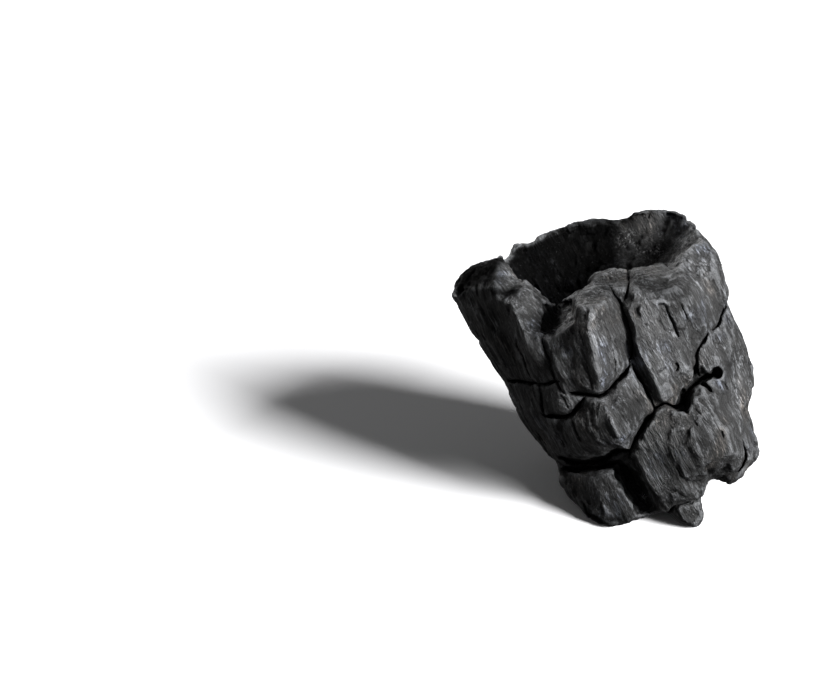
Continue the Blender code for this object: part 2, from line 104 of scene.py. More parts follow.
BLOCK_A = [
    [(575, 322, 7), (568, 350, 6.5), (564, 380, 7), (562, 395, 8)],
    [(541, 338, 9), (558, 334, 8), (575, 322, 7), (577, 306, 7)],
    [(576, 294, 13), (590, 288, 15), (609, 291, 11)],
    [(577, 306, 7), (590, 308, 4), (601, 305, 5), (609, 297, 9)],
    [(590, 308, 4), (589, 325, 2), (594, 346, 1), (598, 372, 1), (601, 394, 3)],
    [(611, 292, 12), (620, 311, 11), (628, 330, 11.5), (632, 348, 12), (629, 367, 10), (617, 381, 7), (603, 395, 5)],
    [(562, 396, 9), (581, 396, 7), (603, 396, 5)],
]
BLOCK_B = [
    [(604, 399, 3), (611, 420, 0), (618, 438, 0), (625, 449, 3)],
    [(631, 377, 8), (641, 388, 8), (650, 400, 8), (654, 409, 8.5)],
    [(631, 377, 8), (618, 390, 6), (606, 398, 5)],
    [(654, 411, 8.5), (646, 427, 6.5), (638, 441, 6.5), (631, 452, 7)],
    [(552, 416, 11), (565, 417, 9.5), (578, 411, 7.5), (581, 399, 7)],
    [(560, 455, 16), (575, 460, 13), (592, 458, 9.5), (610, 452, 6), (625, 450, 5), (631, 454, 8)],
    [(571, 420, 7), (577, 430, 5.5), (583, 443, 6)],
]
BLOCK_C = [
    [(637, 304, 9.5), (636, 325, 8.8), (638, 346, 8.4), (646, 363, 8), (654, 378, 7.6), (661, 392, 7.8)],
    [(625, 300, 12), (637, 304, 9), (656, 300, 9), (672, 301, 11)],
    [(631, 350, 12), (637, 366, 11.5), (647, 384, 10.5), (656, 404, 9.5)],
    [(672, 301, 11), (680, 320, 12), (691, 345, 14), (695, 364, 14), (690, 383, 13), (679, 404, 10), (666, 405, 8.5), (657, 408, 9)],
]
TOP_RIM = [
    [(566, 299, 23), (577, 291, 22), (588, 280, 23), (600, 270, 25), (616, 268, 26), (632, 269, 24), (645, 265, 27), (660, 263, 28), (672, 271, 25)],
    [(590, 288, 15), (612, 290, 12.5), (628, 286, 14), (640, 292, 12)],
    [(672, 271, 25), (683, 257, 28), (692, 245, 31), (700, 233, 39)],
    [(640, 270, 24), (637, 285, 15), (637, 304, 9)],
    [(672, 271, 25), (680, 284, 17), (690, 298, 15)],
]
RIGHT_FACE = [
    [(690, 298, 15), (700, 318, 16), (708, 334, 18), (698, 350, 16), (695, 364, 14)],
    [(702, 250, 31), (708, 275, 27), (713, 300, 24), (719, 314, 25), (708, 334, 18)],
    [(719, 314, 25), (723.5, 306, 26)],
    [(719, 316, 25), (729, 338, 26), (735, 364, 26), (737, 388, 24), (733, 402, 21)],
    [(708, 345, 17), (716, 360, 16), (717, 372, 16), (722, 388, 16), (733, 402, 21)],
    [(690, 386, 13), (702, 380, 13), (712, 374, 15)],
]
LOWER_RIGHT = [
    [(682, 409, 6), (690, 428, 3), (697, 446, 1), (704, 464, 2), (709, 476, 6)],
    [(702, 392, 10), (712, 412, 8), (722, 432, 7.5), (731, 453, 8.5), (733, 470, 12)],
    [(740, 420, 18), (741, 445, 15), (745, 460, 16), (738, 474, 16)],
    [(631, 456, 10), (645, 476, 7), (655, 492, 7), (665, 508, 9)],
    [(655, 414, 7), (645, 431, 5), (637, 448, 6), (640, 460, 7)],
    [(668, 430, 5), (670, 455, 4), (679, 480, 4), (684, 500, 7), (690, 512, 8)],
]
LOWER_LEFT = [
    [(566, 474, 23), (583, 474, 16), (600, 470, 12), (614, 471, 11), (621, 477, 11), (625, 490, 10), (631, 505, 10)],
    [(590, 480, 13), (602, 494, 10.5), (612, 508, 9.5), (616, 518, 9.5)],
    [(578, 486, 18), (588, 503, 14)],
    [(585, 465, 21), (605, 462, 18), (618, 463, 16)],
    [(624, 464, 16), (634, 478, 19), (644, 494, 19), (653, 506, 16)],
]
HOLLOW = [
    [(552, 308, 25), (566, 304, 22), (572, 310, 14)],
    [(548, 322, 17), (562, 322, 16)],
    [(552, 297, 38), (562, 288, 42), (575, 278, 44), (600, 266, 46), (618, 264, 46), (636, 262, 42), (648, 259, 38)],
    [(524, 277, 40), (538, 286, 40), (550, 297, 38)],
    [(508, 262, 42), (530, 262, 46), (560, 252, 50), (590, 244, 52), (618, 242, 52)],
    [(600, 226, 54), (618, 226, 54)],
    [(633, 217, 55), (632, 236, 50), (646, 246, 46), (657, 256, 39), (668, 266, 31)],
    [(648, 222, 54), (668, 222, 53), (684, 228, 47), (692, 237, 38)],
    [(668, 242, 46), (681, 251, 35)],
]
# The two sides as seen from the front: V, then U.
LEFT_SIDE = ([261, 297, 330, 369, 400, 438, 464, 493, 527], [490, 450, 470, 494, 511, 533, 556, 568, 600])
RIGHT_SIDE = ([211, 240, 264, 292, 314, 343, 380, 408, 450, 474, 484, 526], [677, 708, 722, 729, 733, 746, 754, 748, 760, 743, 729, 696])
FRONT = PRONG + LEFT_FLANK + BLOCK_A + BLOCK_B + BLOCK_C + TOP_RIM + RIGHT_FACE + LOWER_RIGHT + LOWER_LEFT + HOLLOW

# The lip of the hollow and, inside it, the wall that shows: U, V, depth Y.
LIP = [
    (503, 259, 38), (510, 254, 42), (527, 245, 47), (551, 235, 52), (576, 227, 55), (596, 223, 56),
    (610, 225, 57), (622, 223, 57), (634, 219, 57), (637, 214, 58), (652, 213, 58), (665, 213, 58),
    (677, 216, 56), (687, 220, 51), (693, 225, 47), (696, 232, 43), (697, 240, 39), (690, 249, 35),
    (683, 258, 31), (676, 266, 28), (671.5, 270.5, 26), (662, 264, 40), (655, 266, 43), (645, 269, 45),
    (630, 270, 47), (618, 269, 48), (609, 269, 48), (601, 271, 48), (592, 276, 48), (588, 284, 47),
    (583, 290, 46), (575, 294, 44), (565, 299, 41), (556, 302, 38), (550, 303.5, 34), (543, 297, 34),
    (537, 291.5, 35), (526, 280.5, 36), (522, 283, 33), (516, 276.5, 35), (509, 268, 36),
]
WALL = [
    (520, 262, 42), (530, 262, 45), (545, 275, 46), (545, 250, 50), (560, 262, 53), (560, 285, 49),
    (580, 250, 56), (585, 270, 53), (600, 240, 57), (605, 258, 55), (625, 240, 57), (625, 258, 53),
    (645, 230, 57), (645, 250, 53), (665, 230, 56), (665, 250, 49), (680, 235, 51), (682, 248, 42),
    (655, 259, 47), (673, 262, 36),
]
LIP_FRONT = -30.0  # the depth at which the cut for the lip begins

# ---------------------------------------------------------------- back and underside, in X, Y, Z
BACK = [
    # feet: two in front, three behind, each worn flat
    (-1, 17, -0.6), (5, 16, -0.6), (3, 22, -0.6), (22, 16, -0.6), (26, 15, -0.6), (24, 20, -0.4),
    (27, 42, -0.8), (20, 47, -0.8), (28, 48, -0.6), (-6, 42, -0.8), (-9, 47, -0.6), (-1, 48, -0.6),
    # the underside between them
    (12, 18, 4.5), (13, 30, 4.0), (2, 32, 3.5), (24, 31, 3.5), (8, 44, 2.5), (33, 24, 7.5), (36, 34, 8.5),
    (34, 44, 6.0), (-9, 34, 6.5), (-14, 42, 8.0), (40, 38, 15.0),
    # the back, bottom to top
    (-16, 53, 13), (-4, 57, 9), (10, 58, 8), (24, 57, 9), (35, 50, 14), (-26, 51, 27), (-16, 60, 25),
    (0, 64, 22), (16, 65, 24), (30, 60, 22), (40, 48, 25), (-34, 51, 41), (-26, 60, 39), (-10, 65, 37),
    (6, 68, 39), (22, 67, 37), (35, 59, 36), (43, 48, 36), (-38, 53, 56), (-30, 62, 53), (-16, 65, 52),
    (0, 67, 54), (14, 69, 52), (29, 64, 52), (37, 54, 50), (-24, 62, 64), (-16, 63, 64), (-8, 65, 66),
    (6, 66, 67), (18, 67, 66), (28, 61, 62),
]

# ---------------------------------------------------------------- cracks, seen from the front
# A run of U, V points, half the mouth's width, depth.
CRACKS = [
    # between the upper middle block and the upper right one, and down to their meeting
    ([(608, 284), (611, 290), (618, 300), (622, 310), (627, 320), (631, 335), (633, 345), (632, 356), (628, 368)], 0.34, 4.0),
    ([(629, 366), (624, 373), (618, 381), (611, 388), (604, 394), (598, 397), (590, 396), (580, 394), (570, 392)], 0.85, 5.0),
    ([(632, 364), (638, 377), (643, 385), (648, 393), (652, 402), (654, 411)], 0.55, 5.0),
    ([(654, 410), (651, 415), (645, 421), (640, 430), (636, 437), (632, 445), (629, 456)], 0.85, 5.5),
    ([(631, 449), (624, 450), (617, 450), (612, 453), (608, 458), (598, 461), (585, 463), (572, 461), (560, 457)], 0.9, 6.0),
    # across the middle to the small hole
    ([(653, 409), (659, 406), (665, 404), (670, 406), (676, 408), (682, 404)], 0.75, 5.0),
    ([(676, 409), (682, 404), (685, 397), (690, 389), (697, 382), (706, 377), (715, 374)], 0.95, 5.0),
    ([(709, 333), (704, 341), (698, 350), (695, 358), (696, 367), (699, 376)], 0.5, 3.5),
    ([(727, 303), (723, 311), (719, 322), (712, 331)], 0.4, 2.5),
    ([(712, 392), (706, 386), (700, 384)], 0.6, 3.0),
    ([(697, 262), (694, 270), (697, 279)], 0.2, 1.0),
    ([(686, 268), (684, 277)], 0.22, 1.0),
    ([(704, 270), (701, 281)], 0.18, 0.9),
    ([(707, 287), (704, 300)], 0.2, 1.0),
    ([(722, 380), (727, 389)], 0.25, 1.2),
    # left flank
    ([(504, 381), (515, 381), (535, 383), (545, 384), (562, 380)], 0.55, 4.0),
    ([(545, 415), (556, 417), (566, 417), (572, 413), (579, 406), (584, 398)], 0.75, 4.5),
    ([(540, 386), (542, 398), (544, 416)], 0.3, 2.0),
    ([(541, 338), (548, 356), (556, 381), (566, 394)], 0.35, 2.5),
    ([(517, 340), (524, 362), (533, 381)], 0.22, 1.6),
    ([(527, 420), (540, 437), (553, 455)], 0.3, 1.8),
    # splits along the grain
    ([(660, 303), (665, 308), (670, 318), (675, 329), (679, 338)], 0.34, 2.2),
    ([(664, 304), (660, 306), (657, 305)], 0.4, 1.6),
    ([(681, 303), (686, 314), (690, 326)], 0.24, 1.5),
    ([(627, 267), (629, 278), (628, 290), (624, 302)], 0.42, 2.4),
    ([(674, 362), (678, 366), (675, 372)], 0.3, 1.0),
    ([(657, 374), (661, 370), (668, 367)], 0.22, 0.8),
    ([(570, 417), (576, 428), (583, 443)], 0.3, 2.0),
    ([(742, 438), (745, 447), (746, 458), (742, 467), (735, 475)], 0.4, 3.0),
    ([(602, 318), (610, 340), (616, 362), (615, 380)], 0.16, 1.0),
    ([(580, 328), (585, 350), (590, 374), (593, 392)], 0.24, 1.5),
    ([(676, 411), (683, 417), (690, 424)], 0.2, 0.9),
    ([(684, 410), (692, 419), (699, 428)], 0.24, 1.1),
    ([(691, 404), (700, 415), (707, 425)], 0.22, 1.0),
    ([(698, 398), (707, 408), (713, 418)], 0.2, 0.9),
    ([(721, 430), (724, 438)], 0.24, 0.9),
    ([(668, 513), (674, 505), (682, 502), (692, 501), (703, 500)], 0.5, 2.6),
    # the deep slots beside the lower left block
    ([(618, 461), (626, 470), (634, 482), (641, 494), (648, 506)], 1.5, 6.0),
    ([(563, 466), (575, 470), (588, 468), (604, 466), (618, 462)], 1.0, 5.0),
    ([(683, 388), (684, 398), (686, 408)], 1.1, 4.0),
]
# Broad hollows (positive) and swellings (negative) of the front: a run of U, V points, reach, height.
WAVES = [
    ([(642, 276), (655, 281), (668, 278)], 2.8, -1.2),
    ([(640, 299), (655, 297), (672, 298)], 1.0, 0.5),
    ([(576, 280), (590, 277), (606, 275)], 0.9, -0.5),
    ([(580, 286), (594, 282), (612, 281)], 0.8, 0.5),
    ([(636, 292), (648, 296)], 2.0, -0.7),
    ([(664, 292), (676, 290)], 1.8, -0.6),
    ([(650, 287), (662, 284)], 1.6, 0.7),
    ([(646, 312), (653, 332)], 2.2, -0.7),
    ([(676, 346), (684, 368)], 2.4, -0.8),
    ([(655, 352), (662, 372), (664, 392)], 2.2, -0.7),
    ([(672, 338), (668, 350)], 1.8, 0.7),
    ([(600, 284), (590, 288)], 1.8, -0.6),
    ([(614, 280), (626, 280)], 1.6, 0.7),
    ([(690, 268), (704, 292)], 2.2, 0.5),
    ([(714, 268), (720, 290)], 2.4, -0.5),
    ([(724, 330), (735, 352)], 3.0, -0.6),
    ([(708, 352), (714, 362)], 2.0, -0.5),
    ([(700, 425), (716, 455)], 1.8, -0.5),
    ([(728, 428), (736, 452)], 2.0, -0.5),
    ([(556, 350), (562, 374)], 1.8, -0.5),
    ([(522, 352), (530, 372)], 1.8, -0.5),
    ([(498, 322), (512, 350)], 2.2, 0.5),
    ([(478, 318), (500, 360)], 2.4, -0.4),
    ([(552, 402), (568, 400)], 1.8, -0.5),
    ([(655, 440), (668, 470)], 3.0, 0.4),
]
# Painted shade laid on the front: a run of U, V points, reach, how much.
SHADE_STROKES = [
    ([(462, 287), (476, 279), (490, 280)], 2.6, 1.0),
    ([(466, 272), (480, 268), (492, 266)], 2.2, 0.9),
    ([(496, 292), (506, 294), (517, 291)], 1.5, 1.0),
    ([(500, 258), (530, 243), (560, 232), (596, 221), (630, 219)], 2.2, 0.95),
    ([(634, 212), (652, 210), (676, 212), (692, 222)], 1.4, 0.6),
    ([(490, 320), (505, 350), (515, 372)], 4.0, 0.4),
    ([(526, 390), (534, 400), (540, 410)], 3.4, 0.55),
    ([(524, 424), (545, 448), (562, 466)], 3.6, 0.5),
    ([(618, 392), (628, 412), (632, 430)], 4.0, 0.42),
    ([(642, 286), (664, 288), (680, 292)], 2.6, 0.55),
    ([(588, 278), (604, 276), (622, 277), (644, 276)], 2.3, 0.5),
    ([(606, 287), (614, 292), (621, 299)], 2.0, 0.55),
    ([(582, 294), (594, 298)], 2.4, 0.3),
    ([(492, 257), (501, 256)], 1.5, 0.7),
    ([(702, 398), (708, 412)], 3.0, 0.2),
    ([(602, 480), (612, 496), (622, 512)], 3.2, 0.6),
    ([(586, 513), (602, 523), (626, 520)], 1.8, 0.7),
    ([(566, 480), (580, 500), (596, 516)], 3.0, 0.35),
    ([(640, 400), (650, 392), (642, 376)], 1.6, 0.4),
    ([(700, 420), (712, 445), (722, 462)], 4.0, 0.36),
    ([(690, 470), (712, 474), (732, 478)], 2.2, 0.5),
    ([(731, 362), (732, 374)], 1.3, 0.5),
    ([(700, 440), (706, 456), (710, 468)], 1.6, 0.4),
    ([(656, 346), (664, 344)], 1.6, 0.35),
]
# Painted light laid on the front: the same.
LIGHT_STROKES = [
    ([(499, 262), (507, 272), (514, 280)], 1.2, 0.3),
    ([(602, 312), (606, 340), (610, 366)], 3.0, 0.3),
    ([(645, 306), (648, 322), (655, 336)], 3.6, 0.9),
    ([(654, 312), (660, 324), (666, 334)], 2.6, 0.4),
    ([(668, 340), (675, 352)], 3.0, 0.5),
    ([(700, 286), (702, 302)], 3.0, 0.35),
    ([(704, 346), (708, 354)], 2.4, 0.3),
    ([(592, 346), (597, 360), (602, 374)], 1.8, 0.5),
    ([(620, 388), (630, 395)], 2.4, 0.5),
    ([(738, 374), (741, 390)], 2.6, 0.45),
    ([(652, 224), (668, 228), (680, 238)], 3.4, 0.7),
    ([(657, 358), (664, 370), (664, 386)], 3.0, 0.4),
    ([(631, 306), (632, 322), (635, 340)], 1.0, 0.8),
    ([(641, 364), (648, 380), (655, 395)], 1.4, 0.9),
    ([(574, 330), (577, 350), (580, 372)], 5.0, 0.3),
    ([(578, 412), (586, 424), (592, 438)], 3.6, 0.3),
    ([(626, 470), (636, 486), (646, 500)], 2.0, 0.6),
    ([(566, 281), (580, 279), (598, 275)], 0.7, 0.8),
    ([(590, 310), (590, 328), (595, 348), (599, 372)], 0.8, 0.6),
    ([(606, 400), (612, 420), (619, 438), (625, 448)], 0.9, 0.8),
    ([(584, 474), (594, 472), (606, 475)], 1.2, 0.6),
    ([(608, 398), (620, 391), (630, 381)], 1.0, 0.6),
    ([(640, 388), (646, 398), (651, 408)], 1.0, 0.4),
    ([(690, 262), (696, 252), (704, 262)], 2.4, 0.3),
    ([(524, 296), (534, 312), (544, 326)], 2.0, 0.3),
    ([(710, 352), (716, 360)], 2.4, 0.3),
]
# Ash that has gathered: the same.
ASHY = [
    ([(628, 240), (638, 246), (652, 254), (662, 251)], 2.3, 1.0),
    ([(606, 276), (630, 272), (652, 272)], 1.8, 0.5),
    ([(646, 322), (656, 330)], 2.4, 0.5),
    ([(662, 362), (674, 378)], 2.4, 0.6),
]


# Places that have crumbled out: the mouth and the wall inside it, each U, V, depth Y.
RECESSES = [
    # beside the splintered slab at the hollow's lip
    (
        [(546, 305, 26), (556, 303, 33), (566, 302, 28), (574, 301, 20), (573, 311, 18), (567, 319, 19), (560, 326, 19), (551, 333, 15), (543, 337, 13), (540, 331, 16), (544, 313, 23)],
        [(557, 311, 29), (553, 321, 24), (564, 311, 24), (549, 328, 19)],
    ),
    # between the lower left block and the large lower right facet
    (
        [(615, 468, 16), (624, 463, 19), (633, 459, 14), (639, 465, 12), (649, 482, 12), (659, 499, 12), (660, 506, 12.5), (650, 511, 14.5), (637, 514, 13.5), (632, 508, 14), (626, 497, 14), (619, 485, 14), (613, 475, 14)],
        [(626, 472, 20), (634, 482, 22), (642, 495, 21), (647, 504, 17)],
    ),
    # under the lower middle block
    (
        [(558, 458, 25), (572, 460, 19), (590, 460, 18), (606, 456, 16), (618, 452, 15), (630, 454, 14), (627, 461, 16), (612, 466, 18), (600, 468, 18), (584, 471, 21), (568, 471, 25)],
        [(580, 465, 23), (600, 462, 20)],
    ),
    # the ragged mouth beside the small hole, and a pit left of it
    (
        [(701, 368, 19), (706, 373, 22), (711, 371, 23), (714, 372, 23), (713, 378, 23), (706, 378, 21), (700, 374, 18)],
        [(709, 375, 24)],
    ),
    (
        [(693, 367, 18), (697, 371, 19), (700, 377, 19), (699, 383, 19), (692, 384, 18)],
        [(696, 377, 21)],
    ),
    # the gap between the prong and the rim behind it
    (
        [(495, 257, 58), (498, 249, 58), (508, 243, 58), (513, 246, 58), (509, 254, 58), (503, 261, 58)],
        [],
    ),
    # in the middle of the long crack to the right
    (
        [(676, 404, 11), (680, 394, 13), (684, 387, 14), (690, 387, 15), (693, 392, 15), (691, 402, 13), (687, 410, 11), (680, 410, 10)],
        [(685, 398, 16)],
    ),
]


# ---------------------------------------------------------------- the lump's shape before it cracked
def in_view(u, v, y):
    a = (u - VIEW_MID[0]) / VIEW_FOCAL
    b = (VIEW_MID[1] - v) / VIEW_FOCAL
    along = Vector((a, math.cos(VIEW_PITCH) + b * math.sin(VIEW_PITCH), b * math.cos(VIEW_PITCH) - math.sin(VIEW_PITCH)))
    return Vector(VIEW_FROM) + along * ((y - VIEW_FROM[1]) / along.y)


def to_view(p):
    d = Vector(p) - Vector(VIEW_FROM)
    away = d.y * math.cos(VIEW_PITCH) - d.z * math.sin(VIEW_PITCH)
    up = d.y * math.sin(VIEW_PITCH) + d.z * math.cos(VIEW_PITCH)
    return VIEW_MID[0] + VIEW_FOCAL * d.x / away, VIEW_MID[1] - VIEW_FOCAL * up / away


def inset(loop, by):
    out = []
    n = len(loop)
    for i in range(n):
        a, b, c = (Vector(loop[(i + k) % n][:2]) for k in (-1, 0, 1))
        t = (b - a).normalized() + (c - b).normalized()
        out.append(b + Vector((-t.y, t.x)).normalized() * by)
    return out


def sheet(loop, lines, dots):
    """Corners U, V, Y and triangles of one side of the lump."""
    points, edges, seen = [], [], {}

    def corner(u, v, y):
        key = (round(u, 2), round(v, 2))
        if key not in seen:
            seen[key] = len(points)
            points.append((u, v, y))
        return seen[key]

    ring = [corner(*p[:3]) for p in loop]
    edges += [(ring[i], ring[(i + 1) % len(ring)]) for i in range(len(ring))]
    for line in lines:
        run = [corner(*p) for p in line]
        edges += [(a, b) for a, b in zip(run, run[1:]) if a != b]
    for p in dots:
        corner(*p)
    verts, _, faces, origin, _, _ = delaunay_2d_cdt([Vector(p[:2]) for p in points], edges, [ring], 1, 1e-4)
    depth = []
    for v, source in zip(verts, origin):
        near = points[source[0]] if source else min(points, key=lambda p: (Vector(p[:2]) - v).length)
        depth.append(near[2])
    return [(v.x, v.y, d) for v, d in zip(verts, depth)], faces


def shell():
    """Points and triangles of the closed shell, and the two sheets that it is made of."""
    rim = inset(OUTLINE, EDGE_INSET)
    front_dots = [(r.x, r.y, p[2] - p[3]) for r, p in zip(rim, OUTLINE)]
    back_dots = [(r.x, r.y, p[2] + p[4]) for r, p in zip(rim, OUTLINE)]
    for r, p in list(zip(inset(OUTLINE, FLANK_INSET), OUTLINE))[::2]:
        if p[4] >= 5:
            back_dots.append((r.x, r.y, p[2] + p[4] + FLANK_BACK))
    for p in BACK:
        u, v = to_view(p)
        if min((Vector((u, v)) - Vector(d[:2])).length for d in back_dots) > 5.0:
            back_dots.append((u, v, p[1]))
    loop = [p[:3] for p in OUTLINE]
    on_loop = {(round(p[0], 1), round(p[1], 1)) for p in loop}
    places, triangles, made, sheets = [], [], {}, []
    for lines, dots, turned in ((FRONT, front_dots, False), ([], back_dots, True)):
        points, faces = sheet(loop, lines, dots)
        sheets.append((np.array(points), np.array([list(f) for f in faces])))
        index = []
        for u, v, y in points:
            key = (round(u, 1), round(v, 1))
            if key in on_loop and key in made:
                index.append(made[key])
                continue
            places.append(in_view(u, v, y) + Vector(SHIFT))
            if key in on_loop:
                made[key] = len(places) - 1
            index.append(len(places) - 1)
        for f in faces:
            ring = [index[i] for i in f]
            triangles.append(ring[::-1] if turned else ring)
    return np.array(places, np.float32), np.array(triangles, np.uint32), sheets


def prism(mouth, wall):
    """Points and triangles of a closed block that runs along the view, from outside to a wall."""
    points, faces = sheet(mouth, [], wall)
    n = len(points)
    places = [in_view(u, v, y) + Vector(SHIFT) for u, v, y in points]
    places += [in_view(u, v, LIP_FRONT) + Vector(SHIFT) for u, v, _ in points]
    triangles = [list(f) for f in faces] + [[i + n for i in f][::-1] for f in faces]
    for i in range(len(mouth)):
        j = (i + 1) % len(mouth)
        triangles += [[i, i + n, j + n], [i, j + n, j]]
    return np.array(places, np.float32), np.array(triangles, np.uint32)


def depth_map(points, faces, u0, v0, nu, nv, per):
    """The depth Y of a sheet on a fine grid of U and V."""
    out = np.full((nu, nv), np.nan, np.float32)
    for f in faces:
        (ua, va, ya), (ub, vb, yb), (uc, vc, yc) = points[f]
        det = (vb - vc) * (ua - uc) + (uc - ub) * (va - vc)
        if abs(det) < 1e-9:
            continue
        i0, i1 = int((min(ua, ub, uc) - u0) * per) - 1, int((max(ua, ub, uc) - u0) * per) + 2
        j0, j1 = int((min(va, vb, vc) - v0) * per) - 1, int((max(va, vb, vc) - v0) * per) + 2
        i0, j0, i1, j1 = max(i0, 0), max(j0, 0), min(i1, nu), min(j1, nv)
        u = (np.arange(i0, i1) / per + u0)[:, None]
        v = (np.arange(j0, j1) / per + v0)[None, :]
        a = ((vb - vc) * (u - uc) + (uc - ub) * (v - vc)) / det
        b = ((vc - va) * (u - uc) + (ua - uc) * (v - vc)) / det
        inside = (a >= -1e-3) & (b >= -1e-3) & (a + b <= 1.001)
        part = out[i0:i1, j0:j1]
        part[inside] = (a * ya + b * yb + (1 - a - b) * yc)[inside]
    return out


# ---------------------------------------------------------------- noise, the same on every run
DICE = np.random.default_rng(7)
TABLE = DICE.uniform(-1, 1, (64 * 64 * 64,)).astype(np.float32)
CELL_TABLE = DICE.uniform(0, 1, (4096, 8)).astype(np.float32)


def noise(x, y, z, seed):
    """Smooth value noise in -1 to 1, one lump per unit of length."""
    total = None
    corner = []
    for c, s in ((x, 17.3), (y, 41.9), (z, 29.1)):
        c = c + np.float32(s + seed * 13.37)
        i = np.floor(c)
        f = (c - i).astype(np.float32)
        f = f * f * (3 - 2 * f)
        i = i.astype(np.int32)
        corner.append(((i & 63), ((i + 1) & 63), f))
    (x0, x1, fx), (y0, y1, fy), (z0, z1, fz) = corner
    for xi, wx in ((x0, 1 - fx), (x1, fx)):
        for yi, wy in ((y0, 1 - fy), (y1, fy)):
            base = (xi * 64 + yi) * 64
            w = wx * wy
            part = w * (TABLE[base + z0] * (1 - fz) + TABLE[base + z1] * fz)
            total = part if total is None else total + part
    return total


def bundles(a, b, c, wide, long, seed):
    """One value, -1 to 1, for each bundle of fibres, which runs along c and ends in a square break."""
    turn = math.radians(20 + 41 * seed)
    i = np.floor((a * math.cos(turn) - b * math.sin(turn)) / wide).astype(np.int32) & 63
    j = np.floor((a * math.sin(turn) + b * math.cos(turn)) / wide).astype(np.int32) & 63
    column = (i * 64 + j) * 64
    k = np.floor(c / long + 3 * TABLE[column + seed]).astype(np.int32)
    return TABLE[column + ((k * 5 + 11 * seed) & 63)]


def ease(x, low, high):
    t = np.clip((x - low) / (high - low), 0, 1)
    return t * t * (3 - 2 * t)


def blur(a, sigma):
    reach = int(2.6 * sigma + 0.5)
    kernel = np.exp(-0.5 * (np.arange(-reach, reach + 1) / sigma) ** 2)
    kernel = (kernel / kernel.sum()).astype(np.float32)
    for axis in range(3):
        pad = [(0, 0)] * 3
        pad[axis] = (reach, reach)
        wide = np.pad(a, pad, mode="edge")
        out = np.zeros_like(a)
        for i, w in enumerate(kernel):
            cut = [slice(None)] * 3
            cut[axis] = slice(i, i + a.shape[axis])
            out += w * wide[tuple(cut)]
        a = out
    return a


def line_maps(lines, u0, v0, nu, nv, per, ends):
    """For a fine grid of U and V: distance to the nearest line in mm, and that line's two values.
    Where lines compete, the one whose edge is nearer wins. With ends, a line thins out at its ends."""
    best = np.full((nu, nv), -99.0, np.float32)
    far = np.full((nu, nv), 99.0, np.float32)
    one = np.zeros((nu, nv), np.float32)
    two = np.ones((nu, nv), np.float32)
    for points, wide, deep in lines:
        p = np.array(points, float)
        lengths = np.linalg.norm(np.diff(p, axis=0), axis=1)
        total = lengths.sum()
        done = 0.0
        for a, b, n in zip(p, p[1:], lengths):
            margin = max(30, 2.7 * wide / STEP_MM)
            i0, i1 = int((min(a[0], b[0]) - margin - u0) * per), int((max(a[0], b[0]) + margin - u0) * per)
            j0, j1 = int((min(a[1], b[1]) - margin - v0) * per), int((max(a[1], b[1]) + margin - v0) * per)
            i0, j0, i1, j1 = max(i0, 0), max(j0, 0), min(i1, nu), min(j1, nv)
            u = (np.arange(i0, i1) / per + u0)[:, None]
            v = (np.arange(j0, j1) / per + v0)[None, :]
            t = np.clip(((u - a[0]) * (b[0] - a[0]) + (v - a[1]) * (b[1] - a[1])) / (n * n), 0, 1)
            d = np.hypot(u - a[0] - t * (b[0] - a[0]), v - a[1] - t * (b[1] - a[1])) * STEP_MM
            s = (done + t * n) / total
            w = wide * (0.3 + 0.7 * np.minimum(1, np.minimum(s, 1 - s) / 0.16)) if ends else wide
            score = w - d
            win = score > best[i0:i1, j0:j1]
            best[i0:i1, j0:j1][win] = score[win]
            far[i0:i1, j0:j1][win] = d[win]
            one[i0:i1, j0:j1][win] = (w * np.ones_like(d))[win]
            two[i0:i1, j0:j1][win] = deep
            done += n
    return far, one, two


def strokes(lines, *size):
    """The sum of soft strokes over U and V."""
    out = np.zeros(size[2:4], np.float32)
    for line in lines:
        far, reach, height = line_maps([line], *size, False)
        out += height * np.exp(-((far / np.maximum(reach, 0.1)) ** 2))
    return out


def look_up(grid, i, j):
    """Bilinear reading of a fine grid."""
    i = np.clip(i, 0, grid.shape[0] - 1.001)
    j = np.clip(j, 0, grid.shape[1] - 1.001)
    i0, j0 = i.astype(np.int32), j.astype(np.int32)
    fi, fj = (i - i0).astype(np.float32), (j - j0).astype(np.float32)
    flat = grid.ravel()
    k = i0 * grid.shape[1] + j0
    n = grid.shape[1]
    return (flat[k] * (1 - fi) + flat[k + n] * fi) * (1 - fj) + (flat[k + 1] * (1 - fi) + flat[k + n + 1] * fi) * fj


